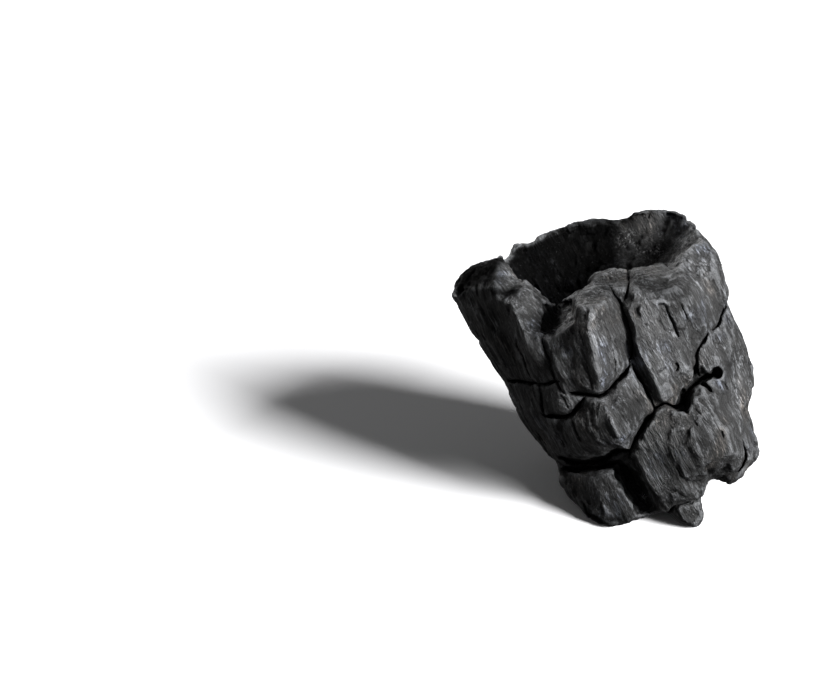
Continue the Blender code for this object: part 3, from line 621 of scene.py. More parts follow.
def blocks(a, b, c, size, seed):
    """For each point, the distance in mm to its cell's wall, the wall's own number 0..1, and the
    cell's number 0..1."""
    q = [a / size[0], b / size[1], c / size[2]]
    cell = [np.floor(x).astype(np.int32) for x in q]
    first = np.full(a.shape, 1e9, np.float32)
    second = np.full(a.shape, 1e9, np.float32)
    near = [np.zeros(a.shape, np.float32) for _ in range(3)]
    next_ = [np.zeros(a.shape, np.float32) for _ in range(3)]
    key1 = np.zeros(a.shape, np.int32)
    key2 = np.zeros(a.shape, np.int32)
    for di in (-1, 0, 1):
        for dj in (-1, 0, 1):
            for dk in (-1, 0, 1):
                ci, cj, ck = cell[0] + di, cell[1] + dj, cell[2] + dk
                key = (ci * 73 + cj * 179 + ck * 283 + seed * 997) & 4095
                # rows of blocks are staggered, as in a wall
                s = [ci + 0.5 + 0.62 * (CELL_TABLE[key, 0] - 0.5), cj + 0.5 + 0.62 * (CELL_TABLE[key, 1] - 0.5), ck + 0.5 + 0.8 * (CELL_TABLE[key, 2] - 0.5)]
                d = sum((s[m] - q[m]) ** 2 for m in range(3)).astype(np.float32)
                closer = d < first
                between = ~closer & (d < second)
                for m in range(3):
                    next_[m] = np.where(closer, near[m], np.where(between, s[m], next_[m]))
                    near[m] = np.where(closer, s[m], near[m])
                key2 = np.where(closer, key1, np.where(between, key, key2))
                key1 = np.where(closer, key, key1)
                second = np.where(closer, first, np.where(between, d, second))
                first = np.where(closer, d, first)
    gap = [(next_[m] - near[m]) for m in range(3)]
    length = np.sqrt(sum(g * g for g in gap)) + 1e-6
    slope = np.sqrt(sum((gap[m] / size[m]) ** 2 for m in range(3))) / length
    wall = (second - first) / (2 * length) / slope
    low, high = np.minimum(key1, key2), np.maximum(key1, key2)
    return wall, CELL_TABLE[(low * 31 + high * 57) & 4095, 3], CELL_TABLE[key1, 4], [near[m] * size[m] for m in range(3)], CELL_TABLE[key1, 5]


# ---------------------------------------------------------------- carving
class Lump:
    """A block of voxels that holds the distance to the surface, in mm, negative inside."""

    def __init__(self):
        places, triangles, sheets = shell()
        self.low = np.floor(places.min(0) / VOXEL).astype(int) - 6
        high = np.ceil(places.max(0) / VOXEL).astype(int) + 7
        spread = openvdb.createLinearTransform(voxelSize=VOXEL)
        grid = openvdb.FloatGrid.createLevelSetFromPolygons(places, triangles=triangles, transform=spread, halfWidth=int(9.0 / VOXEL))
        self.a = np.zeros(tuple(int(n) for n in high - self.low), np.float32)
        grid.copyToArray(self.a, ijk=tuple(int(n) for n in self.low))
        if self.a[0, 0, 0] < 0:
            self.a = -self.a
        self.sheets = sheets
        self.u0, self.v0, self.per = 440.0, 198.0, 2.0
        self.nu, self.nv = 660, 680

    def axes(self):
        return [((np.arange(n) + self.low[k]) * VOXEL).astype(np.float32) for k, n in enumerate(self.a.shape)]

    def places(self, where):
        x, y, z = self.axes()
        i, j, k = np.unravel_index(where, self.a.shape)
        return x[i], y[j], z[k]

    def grain(self, x, y, z):
        """Across the grain (a, b) and along it (c)."""
        lean = GRAIN_LEAN
        a = (x - SHIFT[0]) * math.cos(lean) + z * math.sin(lean)
        c = -(x - SHIFT[0]) * math.sin(lean) + z * math.cos(lean)
        b = y - SHIFT[1]
        return a.astype(np.float32), b.astype(np.float32), c.astype(np.float32)

    def seen_at(self, x, y, z):
        """U, V of points in the part's frame."""
        dx, dy, dz = x - (VIEW_FROM[0] + SHIFT[0]), y - (VIEW_FROM[1] + SHIFT[1]), z - VIEW_FROM[2]
        away = dy * math.cos(VIEW_PITCH) - dz * math.sin(VIEW_PITCH)
        up = dy * math.sin(VIEW_PITCH) + dz * math.cos(VIEW_PITCH)
        return VIEW_MID[0] + VIEW_FOCAL * dx / away, VIEW_MID[1] - VIEW_FOCAL * up / away

    def carve(self):
        # the facets of the shell lose their knife edges
        self.a = blur(self.a, 0.30 / VOXEL)
        self.sunk = np.ascontiguousarray(self.a.copy())
        self.hollow()
        self.cut_along_view(LIP, WALL, 0.5, True)
        for mouth, wall in RECESSES:
            self.cut_along_view(mouth, wall, 0.8, False)
        size = (self.u0, self.v0, self.nu, self.nv, self.per)
        self.front = np.nan_to_num(depth_map(*self.sheets[0], *size), nan=40.0)
        self.back = np.nan_to_num(depth_map(*self.sheets[1], *size), nan=40.0)
        # swellings, painted shade, ash and painted light, each as soft strokes over U and V
        self.lift, self.smoke, self.ash, self.painted_light = (strokes(lines, *size) for lines in (WAVES, SHADE_STROKES, ASHY, LIGHT_STROKES))
        self.crack = line_maps(CRACKS, *size, True)
        self.rough = self.rough_map()
        self.a = np.ascontiguousarray(self.a)
        flat = self.a.ravel()
        where = np.flatnonzero((flat > -6.2) & (flat < 1.8))
        parts = [where[i : i + 50000] for i in range(0, len(where), 50000)]
        with ThreadPoolExecutor(4) as pool:
            for part, d in zip(parts, pool.map(lambda w: self.detail(w, flat[w]), parts)):
                flat[part] = d
        self.a = flat.reshape(self.a.shape)
        z = self.axes()[2]
        # flakes too thin to stay on
        self.a = np.maximum(self.a, blur(np.clip(self.a, -2.5, 2.5), 0.7 / VOXEL) - 0.27)
        self.a = np.maximum(self.a, -z[None, None, :])
        self.knot()

    def detail(self, where, d):
        """The new distances of some voxels, from the old ones."""
        x, y, z = self.places(where)
        a, b, c = self.grain(x, y, z)
        i, j, facing = self.on_front(x, y, z)
        u, v = i / self.per + self.u0, j / self.per + self.v0
        facing = facing * ease(u - np.interp(v, *LEFT_SIDE), 2.0, 13.0) * ease(np.interp(v, *RIGHT_SIDE) - u, 1.0, 9.0)
        wander_a = noise(a / 9, b / 9, c / 26, 1) * 1.3
        wander_b = noise(a / 9, b / 9, c / 26, 2) * 1.3
        ga, gb = a + wander_a, b + wander_b
        below = np.maximum(-d, 0)
        new = d + look_up(self.lift, i, j) * facing

        # cracks of the front, ragged
        gap = np.full(d.shape, -9.0, np.float32)
        far, wide, deep = self.crack
        near = np.flatnonzero((facing > 0.05) & (look_up(far, i, j) < 3.4))
        na, nb, nc = a[near], b[near], c[near]
        wob_u = 1.5 * noise(na / 2.6, nb / 2.6, nc / 3.6, 8) + 1.0 * noise(na / 1.1, nb / 1.1, nc / 1.9, 9)
        wob_v = 1.5 * noise(na / 2.6, nb / 2.6, nc / 3.6, 10) + 1.0 * noise(na / 1.1, nb / 1.1, nc / 1.9, 11)
        iw, jw = i[near] + wob_u * self.per, j[near] + wob_v * self.per
        f, w, dp = look_up(far, iw, jw), look_up(wide, iw, jw), look_up(deep, iw, jw)
        w = w * (1 + 0.4 * noise(na / 3.3, nb / 3.3, nc / 4.5, 23))
        # the edges of each block are rounded off towards its cracks
        new[near] += 0.65 * np.minimum(w / 0.8, 1.2) * np.exp(-((f / (0.4 + 1.1 * w)) ** 2)) * facing[near]
        # wider near the mouth
        gap[near] = np.where(facing[near] > 0.5, w * (1.12 - below[near] / dp) - f, -9)

        # cracks of the back, the underside and the flanks: the checks go on round the lump
        rest = np.flatnonzero(facing < 0.98)
        if len(rest):
            # taken at the surface, so that they go straight in and none runs along under it
            ra, rb, rc = self.grain(*self.risen(where[rest], x[rest], y[rest], z[rest]))
            ra = ra + 1.3 * noise(ra / 9, rb / 9, rc / 26, 1)
            rb = rb + 1.3 * noise(ra / 9, rb / 9, rc / 26, 2)
            ra = ra + 0.7 * noise(ra / 3.0, rb / 3.0, rc / 3.0, 12)
            rb = rb + 0.7 * noise(ra / 3.0, rb / 3.0, rc / 3.0, 13)
            rc = rc + 0.9 * noise(ra / 3.5, rb / 3.5, rc / 3.5, 14)
            wall, kind, tone, seat, tilt = blocks(ra, rb, rc, (15.5, 15.5, 19.0), 3)
            wide_b = 0.14 + 0.75 * ease(kind, 0.25, 1.0)
            deep_b = 1.2 + 4.2 * ease(kind, 0.2, 0.9)
            off = 1 - facing[rest]
            # each block sits a little in or out, and leans
            new[rest] += off * (0.9 * (tone - 0.5) + 0.05 * (tilt - 0.5) * (rc - seat[2]) + 0.06 * (tone - 0.5) * (ra - seat[0]))
            new[rest] += off * 0.6 * np.minimum(wide_b / 0.8, 1.1) * np.exp(-((wall / (0.4 + 1.0 * wide_b)) ** 2))
            gap_b = wide_b * (1.1 - below[rest] / deep_b) - wall
            gap[rest] = np.maximum(gap[rest], np.where(off > 0.5, gap_b, -9))

        # crumbs in the hollow, in the pocket at its lip and in the slots
        crumb = np.maximum(look_up(self.rough, i, j) * facing, self.in_hollow(x, y, z) * (0.3 + 0.7 * ease(-x, -7.5, -2.0)))
        skin = np.flatnonzero((new > -1.8) & (new < 2.2))
        new[skin] += self.skin(a[skin], b[skin], c[skin], ga[skin], gb[skin])
        loose = np.flatnonzero((crumb > 0.02) & (new > -1.8) & (new < 2.2))
        lx, ly, lz = x[loose], y[loose], z[loose]
        pits = noise(lx / 1.7, ly / 1.7, lz / 1.7, 15) + 0.6 * noise(lx / 0.9, ly / 0.9, lz / 0.9, 16)
        new[loose] += crumb[loose] * (0.45 * pits + 0.35 * np.abs(noise(lx / 3.1, ly / 3.1, lz / 3.1, 17)))
        return np.maximum(new, gap)

    def on_front(self, x, y, z):
        """Where points lie on the fine grid of U and V, and how far they belong to the front."""
        u, v = self.seen_at(x, y, z)
        i, j = (u - self.u0) * self.per, (v - self.v0) * self.per
        fy, by = look_up(self.front, i, j), look_up(self.back, i, j)
        share = (y - SHIFT[1] - fy) / np.maximum(by - fy, 1.0)  # 0 on the front sheet, 1 on the back one
        facing = np.where((by - fy) < 6, 1 - ease(share, 0.7, 1.0), 1 - ease(share, 0.38, 0.55))
        return i, j, facing.astype(np.float32)

    def risen(self, where, x, y, z):
        """The places on the surface straight above some voxels."""
        flat = self.sunk.ravel()
        _, ny, nz = self.sunk.shape
        gx, gy, gz = ((flat[where + s] - flat[where - s]) / (2 * VOXEL) for s in (ny * nz, nz, 1))
        by = flat[where] / np.maximum(gx * gx + gy * gy + gz * gz, 0.25)
        return x - by * gx, y - by * gy, z - by * gz

    def skin(self, a, b, c, ga, gb):
        """How far the wood's own texture takes the surface in, mm: swellings, rings, splinters, splits."""
        pa, pb, _ = self.grain(np.float32(PITH[0] + SHIFT[0]), np.float32(PITH[1] + SHIFT[1]), np.float32(PITH[2]))
        ring = np.sqrt((ga - pa) ** 2 + (gb - pb) ** 2)
        shape = 0.22 * noise(a / 7.5, b / 7.5, c / 11, 3)
        shape += 0.16 * noise(ga / 3.1, gb / 3.1, c / 16, 4)
        # growth rings stand a little proud
        shape += 0.1 * np.sin(ring * (2 * math.pi / 1.9) + 1.2 * noise(a / 5, b / 5, c / 30, 6))
        # bundles of fibres that snapped at different depths
        fa, fb = ga + 0.35 * noise(a / 1.6, b / 1.6, c / 5, 18), gb + 0.35 * noise(a / 1.6, b / 1.6, c / 5, 19)
        shape += 0.25 * bundles(fa, fb, c, 2.7, 15.0, 1) + 0.15 * bundles(fa, fb, c, 1.25, 8.0, 2)
        # the splits between them
        split = np.exp(-((noise(fa / 1.5, fb / 1.5, c / 19, 7) / 0.1) ** 2)) * ease(noise(a / 4, b / 4, c / 9, 20), -0.25, 0.35)
        return shape + 0.42 * split

    def hollow(self):
        """The burnt-out heart."""
        x, y, z = self.axes()
        m = np.array(HOLLOW_MIDDLE) + np.array(SHIFT)
        x, y, z = (x - m[0])[:, None, None], (y - m[1])[None, :, None], (z - m[2])[None, None, :]
        s, co = math.sin(GRAIN_LEAN), math.cos(GRAIN_LEAN)
        p = (x * co + z * s) / HOLLOW_RADII[0]
        q = y / HOLLOW_RADII[1] + 0 * p
        r = (-x * s + z * co) / HOLLOW_RADII[2]
        size = np.sqrt(p * p + q * q + r * r) + 1e-6
        uneven = 0.09 * np.sin(5.1 * p + 1.7) * np.cos(4.3 * q + 0.4) + 0.07 * np.sin(6.3 * r + 0.6)
        self.cavity = ((size - 1 - uneven) * 12.5).astype(np.float32)
        k = 0.5  # the lip is a little broken
        h = np.clip(0.5 + 0.5 * (self.a + self.cavity) / k, 0, 1)
        self.a = self.a * h - self.cavity * (1 - h) + k * h * (1 - h)

    def cut_along_view(self, mouth, wall, ragged, is_heart):
        places, triangles = prism(mouth, wall)
        spread = openvdb.createLinearTransform(voxelSize=VOXEL)
        grid = openvdb.FloatGrid.createLevelSetFromPolygons(places, triangles=triangles, transform=spread, halfWidth=int(3.0 / VOXEL))
        first = np.maximum(np.floor(places.min(0) / VOXEL).astype(int) - 10 - self.low, 0)
        last = np.minimum(np.ceil(places.max(0) / VOXEL).astype(int) + 10 - self.low, self.a.shape)
        cut = tuple(slice(int(m), int(n)) for m, n in zip(first, last))
        hole = np.zeros(tuple(int(n) for n in last - first), np.float32)
        grid.copyToArray(hole, ijk=tuple(int(n) for n in first + self.low))
        part = self.a[cut]
        near = np.flatnonzero((np.abs(hole) < 2.8) & (part < 3.0))
        i, j, k = np.unravel_index(near, hole.shape)
        x, y, z = self.axes()
        x, y, z = x[i + first[0]], y[j + first[1]], z[k + first[2]]
        flat = hole.ravel()
        flat[near] += ragged * (noise(x / 3.2, y / 3.2, z / 3.2, 21) + 0.6 * noise(x / 1.4, y / 1.4, z / 1.4, 22))
        if is_heart:
            self.cavity[cut] = np.minimum(self.cavity[cut], hole)
        h = np.clip(0.5 + (part + hole) / 0.8, 0, 1)
        self.a[cut] = part * h - hole * (1 - h) + 0.4 * h * (1 - h)

    def in_hollow(self, x, y, z):
        i = [np.clip(np.round(c / VOXEL).astype(np.int32) - self.low[k], 0, self.a.shape[k] - 1) for k, c in enumerate((x, y, z))]
        return 1 - ease(self.cavity[i[0], i[1], i[2]], 0.4, 2.2)

    def rough_map(self):
        """Where the front is crumbly, 0 to 1 over U and V."""
        u = (np.arange(self.nu) / self.per + self.u0)[:, None]
        v = (np.arange(self.nv) / self.per + self.v0)[None, :]
        out = np.zeros((self.nu, self.nv), np.float32)
        for cu, cv, ru, rv, much in (
            (565, 258, 55, 22, 1.0), (558, 316, 15, 18, 1.0), (640, 250, 26, 12, 1.0), (636, 486, 14, 22, 0.7),
            (690, 396, 10, 14, 0.8), (590, 461, 30, 5, 0.7), (656, 281, 22, 12, 0.35), (603, 287, 18, 9, 0.3), (500, 275, 20, 12, 0.2),
        ):
            r = np.sqrt(((u - cu) / ru) ** 2 + ((v - cv) / rv) ** 2)
            out = np.maximum(out, much * (1 - ease(r, 0.75, 1.15)))
        return out.astype(np.float32)

    def knot(self):
        """The small round hole in the right flank."""
        x, y, z = self.axes()
        m = in_view(717.0, 373.0, 16.0) + Vector(SHIFT)
        way = (in_view(717.0, 373.0, 30.0) - in_view(717.0, 373.0, 16.0)).normalized()
        x, y, z = (x - m.x)[:, None, None], (y - m.y)[None, :, None], (z - m.z)[None, None, :]
        along = x * way.x + y * way.y + z * way.z
        away = np.sqrt(np.maximum(x * x + y * y + z * z - along * along, 0))
        wide = 1.9 - 0.1 * np.abs(along)
        hole = np.maximum(away - wide, np.abs(along) - 6.5)
        self.a = np.maximum(self.a, -hole.astype(np.float32))

    def mesh(self):
        grid = openvdb.FloatGrid(9.0)
        grid.copyFromArray(np.ascontiguousarray(self.a), ijk=tuple(int(n) for n in self.low))
        grid.transform = openvdb.createLinearTransform(voxelSize=VOXEL)
        points, quads = grid.convertToQuads(0.0)
        points, quads = np.asarray(points), np.asarray(quads).astype(np.int64)
        # only the largest connected body is kept
        n = len(points)
        label = np.arange(n)
        edges = np.concatenate([quads[:, [0, 1]], quads[:, [1, 2]], quads[:, [2, 3]], quads[:, [3, 0]]])
        while True:
            low = np.minimum(label[edges[:, 0]], label[edges[:, 1]])
            new = label.copy()
            np.minimum.at(new, edges[:, 0], low)
            np.minimum.at(new, edges[:, 1], low)
            new = new[new]
            if (new == label).all():
                break
            label = new
        names, counts = np.unique(label, return_counts=True)
        keep = label == names[counts.argmax()]
        index = np.cumsum(keep) - 1
        quads = index[quads[keep[quads[:, 0]]]]
        return points[keep], quads


def surface():
    """The finished surface as a mesh, with what the char's finish needs to know at each corner."""
    lump = Lump()
    lump.carve()
    points, quads = lump.mesh()
    mesh = bpy.data.meshes.new("charcoal_lump_look")
    mesh.vertices.add(len(points))
    mesh.vertices.foreach_set("co", (points / 1000).astype(np.float32).ravel())
    mesh.loops.add(quads.size)
    mesh.loops.foreach_set("vertex_index", quads.astype(np.int32).ravel())
    mesh.polygons.add(len(quads))
    mesh.polygons.foreach_set("loop_start", np.arange(0, quads.size, 4, dtype=np.int32))
    mesh.polygons.foreach_set("loop_total", np.full(len(quads), 4, np.int32))
    mesh.update(calc_edges=True)
    mesh.validate()
    p, q = points.astype(np.float64), quads
    volume = (np.cross(p[q[:, 1]] - p[q[:, 0]], p[q[:, 2]] - p[q[:, 0]]) * p[q[:, 0]]).sum() + (
        np.cross(p[q[:, 2]] - p[q[:, 0]], p[q[:, 3]] - p[q[:, 0]]) * p[q[:, 0]]
    ).sum()
    if volume < 0:
        mesh.flip_normals()
    look = bpy.data.objects.new("charcoal_lump_look", mesh)
    bpy.context.scene.collection.objects.link(look)
    if len(quads) * 2 > MOST_TRIANGLES:
        fewer = look.modifiers.new("fewer", "DECIMATE")
        fewer.ratio = MOST_TRIANGLES / (len(quads) * 2)
        fewer.use_collapse_triangulate = True
        done = bpy.data.meshes.new_from_object(look.evaluated_get(bpy.context.evaluated_depsgraph_get()))
        look.modifiers.remove(fewer)
        look.data = done
        bpy.data.meshes.remove(mesh)
        mesh = done
        mesh.name = "charcoal_lump_look"
    mesh.polygons.foreach_set("use_smooth", np.ones(len(mesh.polygons), bool))

    n = len(mesh.vertices)
    co = np.empty(n * 3, np.float32)
    mesh.vertices.foreach_get("co", co)
    co = co.reshape(n, 3) * 1000
    x, y, z = co.T
    at = [np.clip(co[:, k] / VOXEL - lump.low[k], 0, lump.a.shape[k] - 1.001) for k in range(3)]
    i = [t.astype(np.int32) for t in at]
    f = [(t - s).astype(np.float32) for t, s in zip(at, i)]

    def read(grid):
        out = 0
        for di in (0, 1):
            for dj in (0, 1):
                for dk in (0, 1):
                    w = (f[0] if di else 1 - f[0]) * (f[1] if dj else 1 - f[1]) * (f[2] if dk else 1 - f[2])
                    out = out + w * grid[i[0] + di, i[1] + dj, i[2] + dk]
        return out

    # how convex the surface is: it drives the pale edges and the painted shade in the creases
    convexity = read(blur(np.clip(lump.a, -3, 3), 0.75 / VOXEL))
    pit = -read(lump.sunk)
    # where the burnt-out heart gets painted shade, strongest on the left, where it goes further in
    heart = lump.in_hollow(x, y, z) * (0.12 + 0.88 * ease(-x, -7.5, -2.0))
    u, v, front = lump.on_front(x, y, z)
    # the strokes of painted shade, ash and painted light, on the front only
    smoke, ash, painted_light = (np.clip(look_up(grid, u, v), 0, 1) * front for grid in (lump.smoke, lump.ash, lump.painted_light))
    for name, values in (("convexity", convexity), ("pit", pit), ("heart", heart), ("smoke", smoke), ("ash", ash), ("painted_light", painted_light)):
        mesh.attributes.new(name, "FLOAT", "POINT").data.foreach_set("value", np.asarray(values, np.float32))
    print("triangles", len(quads) * 2, "made", len(mesh.polygons), "kept")
    return look


# ---------------------------------------------------------------- the finish
class Nodes:
    def __init__(self, tree):
        self.tree = tree

    def add(self, kind, inputs=(), **settings):
        n = self.tree.nodes.new(kind)
        for key, value in settings.items():
            setattr(n, key, value)
        for key, value in dict(inputs).items():
            if isinstance(value, bpy.types.NodeSocket):
                self.tree.links.new(value, n.inputs[key])
            else:
                n.inputs[key].default_value = value
        return n

    def math(self, operation, a, b=None, c=None, clamp=False):
        inputs = {0: a}
        if b is not None:
            inputs[1] = b
        if c is not None:
            inputs[2] = c
        return self.add("ShaderNodeMath", inputs, operation=operation, use_clamp=clamp).outputs[0]

    def span(self, value, low, high, to_low=0.0, to_high=1.0):
        inputs = {"Value": value, "From Min": low, "From Max": high, "To Min": to_low, "To Max": to_high}
        return self.add("ShaderNodeMapRange", inputs, clamp=True, interpolation_type="SMOOTHSTEP").outputs[0]

    def noise(self, vector, scale, detail=3.0, rough=0.55, twist=0.0):
        inputs = {"Vector": vector, "Scale": scale, "Detail": detail, "Roughness": rough, "Distortion": twist}
        return self.add("ShaderNodeTexNoise", inputs).outputs[0]

    def mix(self, share, a, b, blend="MIX"):
        n = self.add("ShaderNodeMix", {}, data_type="RGBA", blend_type=blend, clamp_factor=True)
        for key, value in ((0, share), (6, a), (7, b)):
            if isinstance(value, bpy.types.NodeSocket):
                self.tree.links.new(value, n.inputs[key])
            else:
                n.inputs[key].default_value = value
        return n.outputs[2]

    def stretch(self, vector, x, y, z):
        return self.add("ShaderNodeMapping", {"Vector": vector, "Scale": (x, y, z)}, vector_type="POINT").outputs[0]


def grey(value, blue=0.0):
    return (value * (1 - blue), value, value * (1 + blue * 1.6), 1.0)


def char():
    """Char: near-black fibres with a graphite sheen, pale edges that are partly wear and partly a painted highlight,
    painted shade in the cracks and the burnt-out heart, and strokes of painted light and painted shade.
    """
    m = bpy.data.materials.new("charcoal_char")
    m.use_nodes = True
    tree = m.node_tree
    tree.nodes.clear()
    n = Nodes(tree)
    place = n.add("ShaderNodeTexCoord").outputs["Object"]
    lean = GRAIN_LEAN
    pith = (
        PITH[0] * math.cos(lean) + PITH[2] * math.sin(lean),
        PITH[1],
        -PITH[0] * math.sin(lean) + PITH[2] * math.cos(lean),
    )
    turned = n.add(
        "ShaderNodeMapping",
        {
            "Vector": place,
            "Scale": (1000, 1000, 1000),
            "Rotation": (0, lean, 0),
            "Location": (-pith[0] - SHIFT[0] * math.cos(lean), -pith[1] - SHIFT[1], -pith[2] + SHIFT[0] * math.sin(lean)),
        },
        vector_type="POINT",
    ).outputs[0]
    # the surface's convexity, depth below the uncarved shape, the burnt-out heart, painted shade, ash and painted
    # light
    convexity = n.add("ShaderNodeAttribute", attribute_name="convexity").outputs["Fac"]
    pit = n.add("ShaderNodeAttribute", attribute_name="pit").outputs["Fac"]
    heart = n.add("ShaderNodeAttribute", attribute_name="heart").outputs["Fac"]
    smoke = n.add("ShaderNodeAttribute", attribute_name="smoke").outputs["Fac"]
    ashy = n.add("ShaderNodeAttribute", attribute_name="ash").outputs["Fac"]
    painted_light = n.add("ShaderNodeAttribute", attribute_name="painted_light").outputs["Fac"]

    fibre = n.noise(n.stretch(turned, 1, 1, 0.13), 1.35, 4.0, 0.72, 0.3)
    hair = n.noise(n.stretch(turned, 1, 1, 0.12), 3.4, 2.0, 0.6, 0.0)
    coarse = n.noise(n.stretch(turned, 1, 1, 0.11), 0.45, 3.0, 0.55, 0.3)
    patch = n.noise(turned, 0.13, 4.0, 0.6, 0.4)
    tint = n.noise(turned, 0.07, 2.0, 0.5, 0.0)
    speck = n.noise(turned, 2.4, 3.0, 0.7, 0.0)
    pore = n.noise(n.stretch(turned, 1, 1, 0.2), 2.2, 2.0, 0.5, 0.0)
    flake = n.noise(turned, 1.25, 2.0, 0.6, 0.6)

    # growth rings about the heart of the branch
    parts = n.add("ShaderNodeSeparateXYZ", {"Vector": turned})
    a, b = parts.outputs[0], parts.outputs[1]
    radius = n.math("SQRT", n.math("ADD", n.math("MULTIPLY", a, a), n.math("MULTIPLY", b, b)))
    radius = n.math("ADD", radius, n.math("MULTIPLY", coarse, 2.2))
    ring = n.math("SINE", n.math("MULTIPLY", radius, 2 * math.pi / 1.3))
    ring = n.span(ring, -0.7, 1.0)

    strand = n.math("ADD", n.math("MULTIPLY", n.span(fibre, 0.43, 0.58), 0.66), n.math("MULTIPLY", n.span(hair, 0.4, 0.6), 0.34))
    value = n.math("ADD", n.math("MULTIPLY", strand, 0.55), n.math("MULTIPLY", ring, 0.13))
    value = n.math("ADD", value, n.math("MULTIPLY", n.span(coarse, 0.36, 0.66), 0.3))
    value = n.math("ADD", value, n.span(patch, 0.35, 0.68, -0.12, 0.14))
    ramp = n.add("ShaderNodeValToRGB", {"Fac": value})
    stops = ramp.color_ramp.elements
    stops[0].position, stops[0].color = 0.22, grey(0.0022)
    stops[1].position, stops[1].color = 0.93, grey(0.15, 0.03)
    for at, colour in ((0.42, grey(0.0065, 0.01)), (0.58, grey(0.02, 0.02)), (0.75, grey(0.06, 0.03))):
        stops.new(at).color = colour
    # the mouths of vessels along the fibres
    pores = n.math("MULTIPLY", n.span(pore, 0.55, 0.62), n.span(patch, 0.38, 0.6, 0.4, 1.0))
    colour = n.mix(n.math("MULTIPLY", pores, 0.9), ramp.outputs["Color"], grey(0.003))
    # some of it bluish, some with the brown of wood that isn't quite burnt
    colour = n.mix(n.span(tint, 0.55, 0.68, 0.0, 0.55), colour, (0.85, 0.95, 1.22, 1.0), "MULTIPLY")
    colour = n.mix(n.span(tint, 0.47, 0.36, 0.0, 0.6), colour, (1.22, 1.0, 0.8, 1.0), "MULTIPLY")
    # painted light: the colour lifted where the strokes of painted light lie
    lit_colour = n.mix(1.0, n.mix(1.0, colour, (2.1, 2.1, 2.12, 1.0), "MULTIPLY"), (0.03, 0.03, 0.0305, 1.0), "ADD")
    colour = n.mix(n.math("MULTIPLY", painted_light, 0.9), colour, lit_colour)
    # pale edges along convex ridges: partly rubbed wear, partly a painted highlight
    edge_wear_and_highlight = n.math("MULTIPLY", n.span(convexity, 0.12, 0.38), n.span(speck, 0.36, 0.58, 0.25, 1.0))
    colour = n.mix(n.math("MULTIPLY", edge_wear_and_highlight, 0.8), colour, grey(0.15, 0.03))
    # a little ash in grains
    grains = n.math("MULTIPLY", n.span(speck, 0.66, 0.72, 0.0, 0.35), n.math("SUBTRACT", 1.0, n.math("MULTIPLY", heart, 0.7)))
    ash = n.math("MAXIMUM", grains, n.math("MULTIPLY", n.span(flake, 0.57, 0.62), n.math("MULTIPLY", ashy, 0.85)))
    # painted shade in the cracks, pits and concave places, less where the painted light lies
    deep = n.span(pit, 0.9, 2.8)
    crease_shade = n.math("MAXIMUM", n.span(convexity, -0.1, -0.45), n.math("MULTIPLY", deep, n.math("SUBTRACT", 1.0, n.math("MULTIPLY", heart, 0.6))))
    crease_shade = n.math("MULTIPLY", crease_shade, n.math("SUBTRACT", 1.0, n.math("MULTIPLY", painted_light, 0.85)))
    colour = n.mix(n.math("MULTIPLY", crease_shade, 0.85), colour, grey(0.003))
    # and painted shade far down in the burnt-out heart and along the strokes of painted shade
    deep_shade = n.math("MULTIPLY", heart, n.span(pit, 0.2, 1.8))
    deep_shade = n.math("MAXIMUM", deep_shade, n.math("MULTIPLY", smoke, 0.95))
    colour = n.mix(n.math("MULTIPLY", deep_shade, 0.97), colour, grey(0.0018))
    colour = n.mix(ash, colour, n.mix(heart, grey(0.14, 0.01), grey(0.26, 0.01)))

    rough = n.math("ADD", 0.62, n.math("MULTIPLY", strand, -0.2))
    rough = n.math("ADD", rough, n.span(patch, 0.4, 0.65, 0.1, -0.06))
    rough = n.math("ADD", rough, n.math("MULTIPLY", n.math("MAXIMUM", crease_shade, deep_shade), 0.35), clamp=True)
    # the painted shade also takes most of the specular away
    sheen = n.math("SUBTRACT", 0.48, n.math("MULTIPLY", deep_shade, 0.475))

    fine = n.math("ADD", n.math("MULTIPLY", fibre, 0.75), n.math("MULTIPLY", hair, 0.4))
    fine = n.math("ADD", fine, n.math("MULTIPLY", speck, 0.3))
    fine = n.math("SUBTRACT", fine, n.math("MULTIPLY", pores, 0.25))
    bump = n.add("ShaderNodeBump", {"Height": fine, "Strength": 1.0, "Distance": 0.00115})
    shader = n.add(
        "ShaderNodeBsdfPrincipled",
        {"Base Color": colour, "Roughness": rough, "Normal": bump.outputs[0], "Specular IOR Level": sheen, "IOR": 1.5},
    )
    shader.inputs["Specular IOR Level"].default_value = 0.45
    out = n.add("ShaderNodeOutputMaterial")
    tree.links.new(shader.outputs[0], out.inputs[0])
    return m


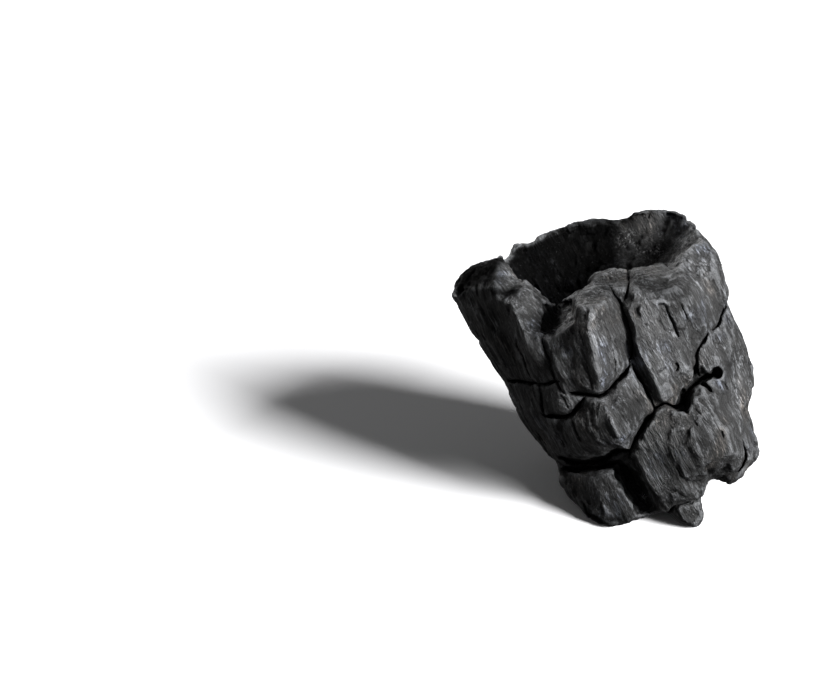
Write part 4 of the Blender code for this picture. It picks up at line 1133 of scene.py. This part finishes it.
def floor():
    wide = 3.0
    mesh = bpy.data.meshes.new("floor")
    mesh.from_pydata([(-wide, -wide, -0.0001), (wide, -wide, -0.0001), (wide, wide, -0.0001), (-wide, wide, -0.0001)], [], [(0, 1, 2, 3)])
    ground = bpy.data.objects.new("floor", mesh)
    bpy.context.scene.collection.objects.link(ground)
    m = bpy.data.materials.new("floor_white")
    m.use_nodes = True
    shader = m.node_tree.nodes["Principled BSDF"]
    shader.inputs["Base Color"].default_value = (0.86, 0.86, 0.87, 1)
    shader.inputs["Roughness"].default_value = 0.75
    shader.inputs["Specular IOR Level"].default_value = 0.2
    mesh.materials.append(m)
    # black card below: the floor throws no light back up
    ground.visible_diffuse = False
    ground.visible_glossy = False


def light(name, place, aim, size, watts, colour, only=None):
    data = bpy.data.lights.new(name, "AREA")
    data.shape = "SQUARE"
    data.size = size
    data.energy = watts
    data.color = colour
    lamp = bpy.data.objects.new(name, data)
    lamp.location = place
    lamp.rotation_euler = (Vector(aim) - Vector(place)).to_track_quat("-Z", "Y").to_euler()
    bpy.context.scene.collection.objects.link(lamp)
    if only is not None:
        # flagged off the floor, so that the shadow there stays deep
        lamp.light_linking.receiver_collection = only


def studio(subject):
    only = bpy.data.collections.new("lit_from_behind")
    only.objects.link(subject)
    world = bpy.data.worlds.new("studio")
    world.use_nodes = True
    back = world.node_tree.nodes["Background"]
    back.inputs[0].default_value = (1.0, 1.0, 1.0, 1)
    back.inputs[1].default_value = 0.12
    bpy.context.scene.world = world
    light("key", (2.45, -1.6, 1.7), (0, 0, 0.035), 1.4, 470.0, (1.0, 1.0, 1.0))
    light("rim", (-1.4, 3.2, 1.3), (0, 0, 0.04), 1.4, 110.0, (1.0, 1.0, 1.0), only)
    light("side", (-3.1, 1.5, 0.8), (0, 0, 0.04), 1.4, 24.0, (1.0, 1.0, 1.0), only)
    bpy.context.scene.view_settings.view_transform = "Standard"


def camera():
    data = bpy.data.cameras.new("camera")
    data.sensor_width = 36.0
    data.lens = VIEW_FOCAL / 828 * 36.0
    cam = bpy.data.objects.new("camera", data)
    cam.location = tuple((VIEW_FROM[k] + SHIFT[k]) / 1000 for k in range(3))
    cam.rotation_euler = (math.radians(90) - VIEW_PITCH, 0, 0)
    bpy.context.scene.collection.objects.link(cam)
    bpy.context.scene.camera = cam


look = surface()
look.data.materials.append(char())
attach(look, "root")
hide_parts("charcoal_lump")
floor()
studio(look)
camera()
